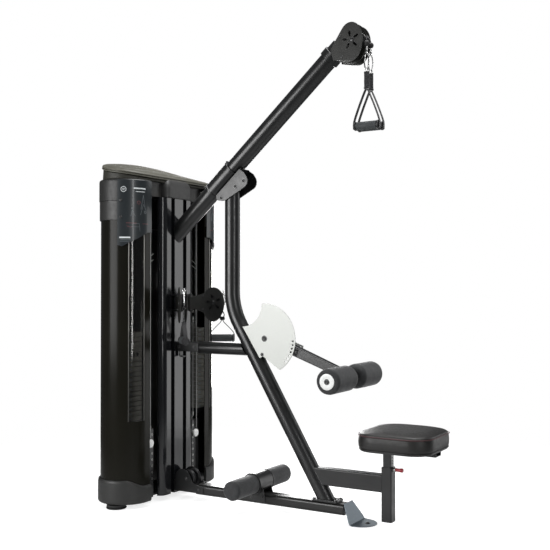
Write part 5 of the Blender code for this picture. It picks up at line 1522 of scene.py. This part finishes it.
def seat_frame():
    """Beam mitred to the upright, the socket post, the sliding post, its channel and the pull pin."""
    low, high, half = 0.158, 0.238, 0.025
    outline = rounded(half, (high - low) / 2, 0.006, 6, (0, (high + low) / 2))
    reach = (TUBE_R - 0.004) / cos(LEAN)
    start = [(UPRIGHT_X + (BEND_Z - b) * LEAN_RUN + reach * (1 - (a / TUBE_R) ** 2) ** 0.5, a, b)
             for a, b in outline]
    beam = loft([start, [(POST_X - POST_HALF + 0.002, a, b) for a, b in outline]])
    post = square_tube(POST_X, limits("seat_beam")[0].z, limits("seat_beam")[1].z, 0.0251, 0.003, 0.0050)
    piece("seat_arm", [beam, post], "black_steel", stands_for=["seat_beam"])
    inner_half = 0.0192
    inner = square_tube(POST_X, 0.060, SEAT_LOW.z - 0.010, inner_half, 0.002, 0.0035)
    under = SEAT_LOW.z - 0.0205
    pan = [box((1.222, 1.538), (-0.032, 0.032), (under, under + 0.003), 0.0008)]
    for side in SIDES.values():
        pan.append(box((1.222, 1.538), sorted((side * 0.0290, side * 0.0320)),
                       (under, SEAT_LOW.z - 0.0003), 0.0006))
    pan.append(box((POST_X - 0.030, POST_X + 0.030), (-0.0285, 0.0285), (under - 0.002, under + 0.001),
                   0.0006))
    piece("sliding_post", inner, "black_steel", "seat", stands_for=["seat_post"])
    piece("seat_channel", pan, "black_steel", "seat")
    detents = []
    for i in range(5):
        z = 0.283 + 0.014 * i
        detents.append(ring((POST_X + inner_half - 0.0004, 0, z), (1, 0, 0),
                            [(0, 0.0030), (0.0006, 0.0030), (0.0006, 0.0046), (0, 0.0046)], 20))
    piece("post_holes", detents, "zinc", "seat")
    bolts = [bolt((x, 0, under), (0, 0, -1), 0.0065, 0.0042) for x in (1.245, 1.395, 1.515)]
    piece("channel_bolts", bolts, "dark_bolt", "seat")
    x0 = limits("seat_pin")[0].x
    z = centre("seat_pin").z
    profile = [(0, 0.0045), (0.001, 0.0058), (0.0182, 0.0058), (0.0185, 0.0088), (0.0240, 0.0078),
               (0.0330, 0.0082), (0.0420, 0.0095), (0.0490, 0.0095), (0.0520, 0.0078), (0.0530, 0.0040)]
    pin = turned((x0, 0, z), (1, 0, 0), profile, 32)
    piece("pull_pin", pin, "red_plastic", "seat_lock", stands_for=["seat_pin"])
    collar = ring((POST_X + 0.0251, 0, z), (1, 0, 0),
                  [(-0.001, 0.0066), (0.0105, 0.0066), (0.0108, 0.0072), (0.0108, 0.0082), (0.0100, 0.0092),
                   (0.0020, 0.0096), (0.0020, 0.0112), (-0.001, 0.0112)], 28)
    piece("pin_collar", collar, "zinc")


def seat_outline(inset, steps=10):
    """The pad's outline, drawn in by the inset."""
    return rounded((SEAT_HIGH.x - SEAT_LOW.x) / 2 - inset, (SEAT_HIGH.y - SEAT_LOW.y) / 2 - inset,
                   0.100 - inset * 0.8, steps, (SEAT.x, 0))


def stuffed(solid, voxel, pressure, cap, seam):
    """Inflate a closed shape as cloth above its seam, by no more than the cap, then smooth it."""
    mesh = bpy.data.meshes.new("stuffing")
    solid.to_mesh(mesh)
    solid.free()
    obj = bpy.data.objects.new("stuffing", mesh)
    bpy.context.scene.collection.objects.link(obj)
    remesh = obj.modifiers.new("voxels", "REMESH")
    remesh.mode, remesh.voxel_size = "VOXEL", voxel
    bpy.context.view_layer.objects.active = obj
    bpy.context.view_layer.update()
    settled = bpy.data.meshes.new_from_object(obj.evaluated_get(bpy.context.evaluated_depsgraph_get()))
    obj.modifiers.clear()
    obj.data = settled
    rest = [v.co.copy() for v in settled.vertices]
    group = obj.vertex_groups.new(name="held")
    group.add([i for i, p in enumerate(rest) if p.z < seam + 0.003], 1.0, "REPLACE")
    cloth = obj.modifiers.new("cloth", "CLOTH")
    cloth.settings.use_pressure = True
    cloth.settings.uniform_pressure_force = pressure
    cloth.settings.effector_weights.gravity = 0
    cloth.settings.vertex_group_mass = "held"
    cloth.settings.tension_stiffness = 25
    cloth.settings.bending_stiffness = 2
    for step in range(1, 13):
        bpy.context.scene.frame_set(step)
    moved = bpy.data.meshes.new_from_object(obj.evaluated_get(bpy.context.evaluated_depsgraph_get()))
    obj.modifiers.clear()
    for v, home in zip(moved.vertices, rest):
        away = v.co - home
        if away.length > cap:
            v.co = home + away.normalized() * cap
    obj.data = moved
    bpy.context.scene.frame_set(1)
    smooth = obj.modifiers.new("smooth", "SMOOTH")
    smooth.iterations, smooth.factor = 10, 0.5
    finer = obj.modifiers.new("finer", "SUBSURF")
    finer.levels = finer.render_levels = 1
    final = bpy.data.meshes.new_from_object(obj.evaluated_get(bpy.context.evaluated_depsgraph_get()))
    bpy.data.objects.remove(obj)
    result = bmesh.new()
    result.from_mesh(final)
    return result


def seat_cushion():
    """Upholstered pad on a board: crowned, sides pulled in at the piping, flat underneath."""
    base, top = SEAT_LOW.z, SEAT_HIGH.z
    board = loft([[(x, y, z) for x, y in seat_outline(inset)] for inset, z in
                  ((0.020, base), (0.012, base), (0.010, base + 0.002), (0.010, base + 0.008))])
    piece("seat_board", board, "black_nylon", "seat")
    seam = top - 0.019
    rings = []
    for inset, z in ((0.016, base + 0.003), (0.009, base + 0.008), (0.0045, base + 0.020),
                     (0.0040, base + 0.046), (0.0070, seam), (0.0110, seam + 0.008),
                     (0.0210, seam + 0.0125), (0.044, seam + 0.0155), (0.092, seam + 0.0175)):
        rings.append([(x, y, z) for x, y in seat_outline(inset)])
    solid = stuffed(loft(rings), voxel=0.005, pressure=1.2, cap=0.0035, seam=seam)
    half = Vector((SEAT.x - SEAT_LOW.x, SEAT_HIGH.y - SEAT.y))
    for v in solid.verts:
        edge = max(abs(v.co.x - SEAT.x) / half.x, abs(v.co.y) / half.y)
        if v.co.z < base + 0.006 and edge < 0.93:
            v.co.z = base + 0.003             # flat where it rests on the board
        crease = max(0.0, 1 - abs(v.co.z - seam) / 0.006)
        if edge > 0.55 and crease > 0:
            out = Vector((v.co.x - SEAT.x, v.co.y, 0)).normalized()
            v.co -= out * 0.0020 * crease     # drawn in along the seam
        wave = noise.noise(Vector((v.co.x * 16, v.co.y * 16, 4.0)))
        v.co.z += 0.0008 * wave if v.co.z > seam else 0.0
        v.co.z = min(v.co.z, top + 0.002)
    cushion = piece("seat_cushion", solid, "black_vinyl", "seat", stands_for=["seat_pad"], sharp=60)
    for name, inset, z, size in (("upper", 0.0045, seam, 0.0024), ("lower", 0.0075, base + 0.009, 0.0022)):
        path = [Vector((x, y, z)) for x, y in seat_outline(inset, 14)]
        look = "piping" if name == "upper" else "black_vinyl"
        piece(f"seat_piping_{name}", sweep(path, disc(size, 10), True, (0, 0, 1)), look, "seat", sharp=60)


# ---- what stays from the frame ---------------------------------------------------------------
def dress_frame():
    """Materials for the frame nodes that are shown as they are."""
    for node, look in (("tower_frame", "black_steel"), ("rear_panel", "black_sheet")):
        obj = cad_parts[node]
        obj.data.materials.clear()
        obj.data.materials.append(LOOKS[look].material)
        bevel = obj.modifiers.new("eased edges", "BEVEL")
        bevel.width, bevel.segments, bevel.angle_limit = 0.0010, 2, radians(40)


# ---- studio ----------------------------------------------------------------------------------
def studio():
    """White backdrop and floor as the camera sees them, soft area lights, and the camera."""
    scene = bpy.context.scene
    scene.view_settings.view_transform = "Standard"
    world = bpy.data.worlds.new("studio")
    scene.world = world
    world.use_nodes = True
    nodes, links = world.node_tree.nodes, world.node_tree.links
    backdrop = nodes["Background"]
    backdrop.inputs["Color"].default_value = (1.0, 1.0, 1.0, 1.0)
    backdrop.inputs["Strength"].default_value = 1.0
    glow = nodes.new("ShaderNodeBackground")
    glow.inputs["Color"].default_value = (0.93, 0.96, 1.0, 1.0)
    glow.inputs["Strength"].default_value = 0.10
    mix = nodes.new("ShaderNodeMixShader")
    # The camera sees pure white, while the backdrop itself lights the machine only faintly.
    path = nodes.new("ShaderNodeLightPath")
    links.new(path.outputs["Is Camera Ray"], mix.inputs["Fac"])
    links.new(glow.outputs[0], mix.inputs[1])
    links.new(backdrop.outputs[0], mix.inputs[2])
    links.new(mix.outputs[0], nodes["World Output"].inputs["Surface"])

    floor_bm = bmesh.new()
    bmesh.ops.create_circle(floor_bm, cap_ends=True, radius=3.0, segments=96)
    mesh = bpy.data.meshes.new("studio_floor")
    floor_bm.to_mesh(mesh)
    floor = bpy.data.objects.new("studio_floor", mesh)
    scene.collection.objects.link(floor)
    f = Finish("studio_floor", (0.75, 0.75, 0.75), 0.80)
    f.set("Emission Color", (1.0, 1.0, 1.0, 1.0))
    seen = f.nodes.new("ShaderNodeLightPath").outputs["Is Camera Ray"]
    f.links.new(f.remap(seen, 0.0, 1.0, 0.10, 0.72), f.shader.inputs["Emission Strength"])
    distance = f.nodes.new("ShaderNodeVectorMath")
    distance.operation = "LENGTH"
    f.links.new(f.space, distance.inputs[0])
    fade = f.remap(distance.outputs["Value"], 0.7, 2.6, 0.9, 0.0)
    f.links.new(fade, f.shader.inputs["Alpha"])
    mesh.materials.append(f.material)

    for name, place, aim, size, power in (
        ("key", (-1.9, -3.9, 1.5), (0.0, 0, 1.0), (2.4, 2.0), 122),
        ("panel", (2.65, 4.1, 1.5), (-0.55, 0, 1.3), (1.5, 4.2), 37),
        ("front", (4.4, -2.4, 1.8), (0.2, 0, 0.9), (0.6, 3.0), 44),
        ("top", (0.5, 0.4, 4.4), (0.2, 0, 0), (3.4, 2.2), 135),
        ("back", (-2.6, 3.4, 1.4), (0.3, 0, 1.0), (1.8, 2.6), 150),
    ):
        light = bpy.data.lights.new(name, "AREA")
        light.shape, light.size, light.size_y, light.energy = "RECTANGLE", *size, power
        lamp = bpy.data.objects.new(name, light)
        lamp.location = place
        lamp.rotation_euler = (Vector(aim) - Vector(place)).to_track_quat("-Z", "Y").to_euler()
        scene.collection.objects.link(lamp)

    camera_data = bpy.data.cameras.new("camera")
    camera_data.sensor_width, camera_data.lens = 36, 58.35
    camera = bpy.data.objects.new("camera", camera_data)
    camera.location = (2.219, -3.763, 1.095)
    camera.rotation_euler = Vector((-0.5084, 0.8611, 0.0127)).to_track_quat("-Z", "Y").to_euler()
    scene.collection.objects.link(camera)
    scene.camera = camera


# ---- assembly --------------------------------------------------------------------------------
studio()
dress_frame()
shrouds()
base_caps()
top_caps()
placards()
lid()
column()
tower_inside()
weights()
posts()
rear()
main_tubes()
base()
pulley_head()
handles()
mid_pulleys()
low_pulleys()
quadrant()
thigh_support()
foot_support()
seat_frame()
seat_cushion()
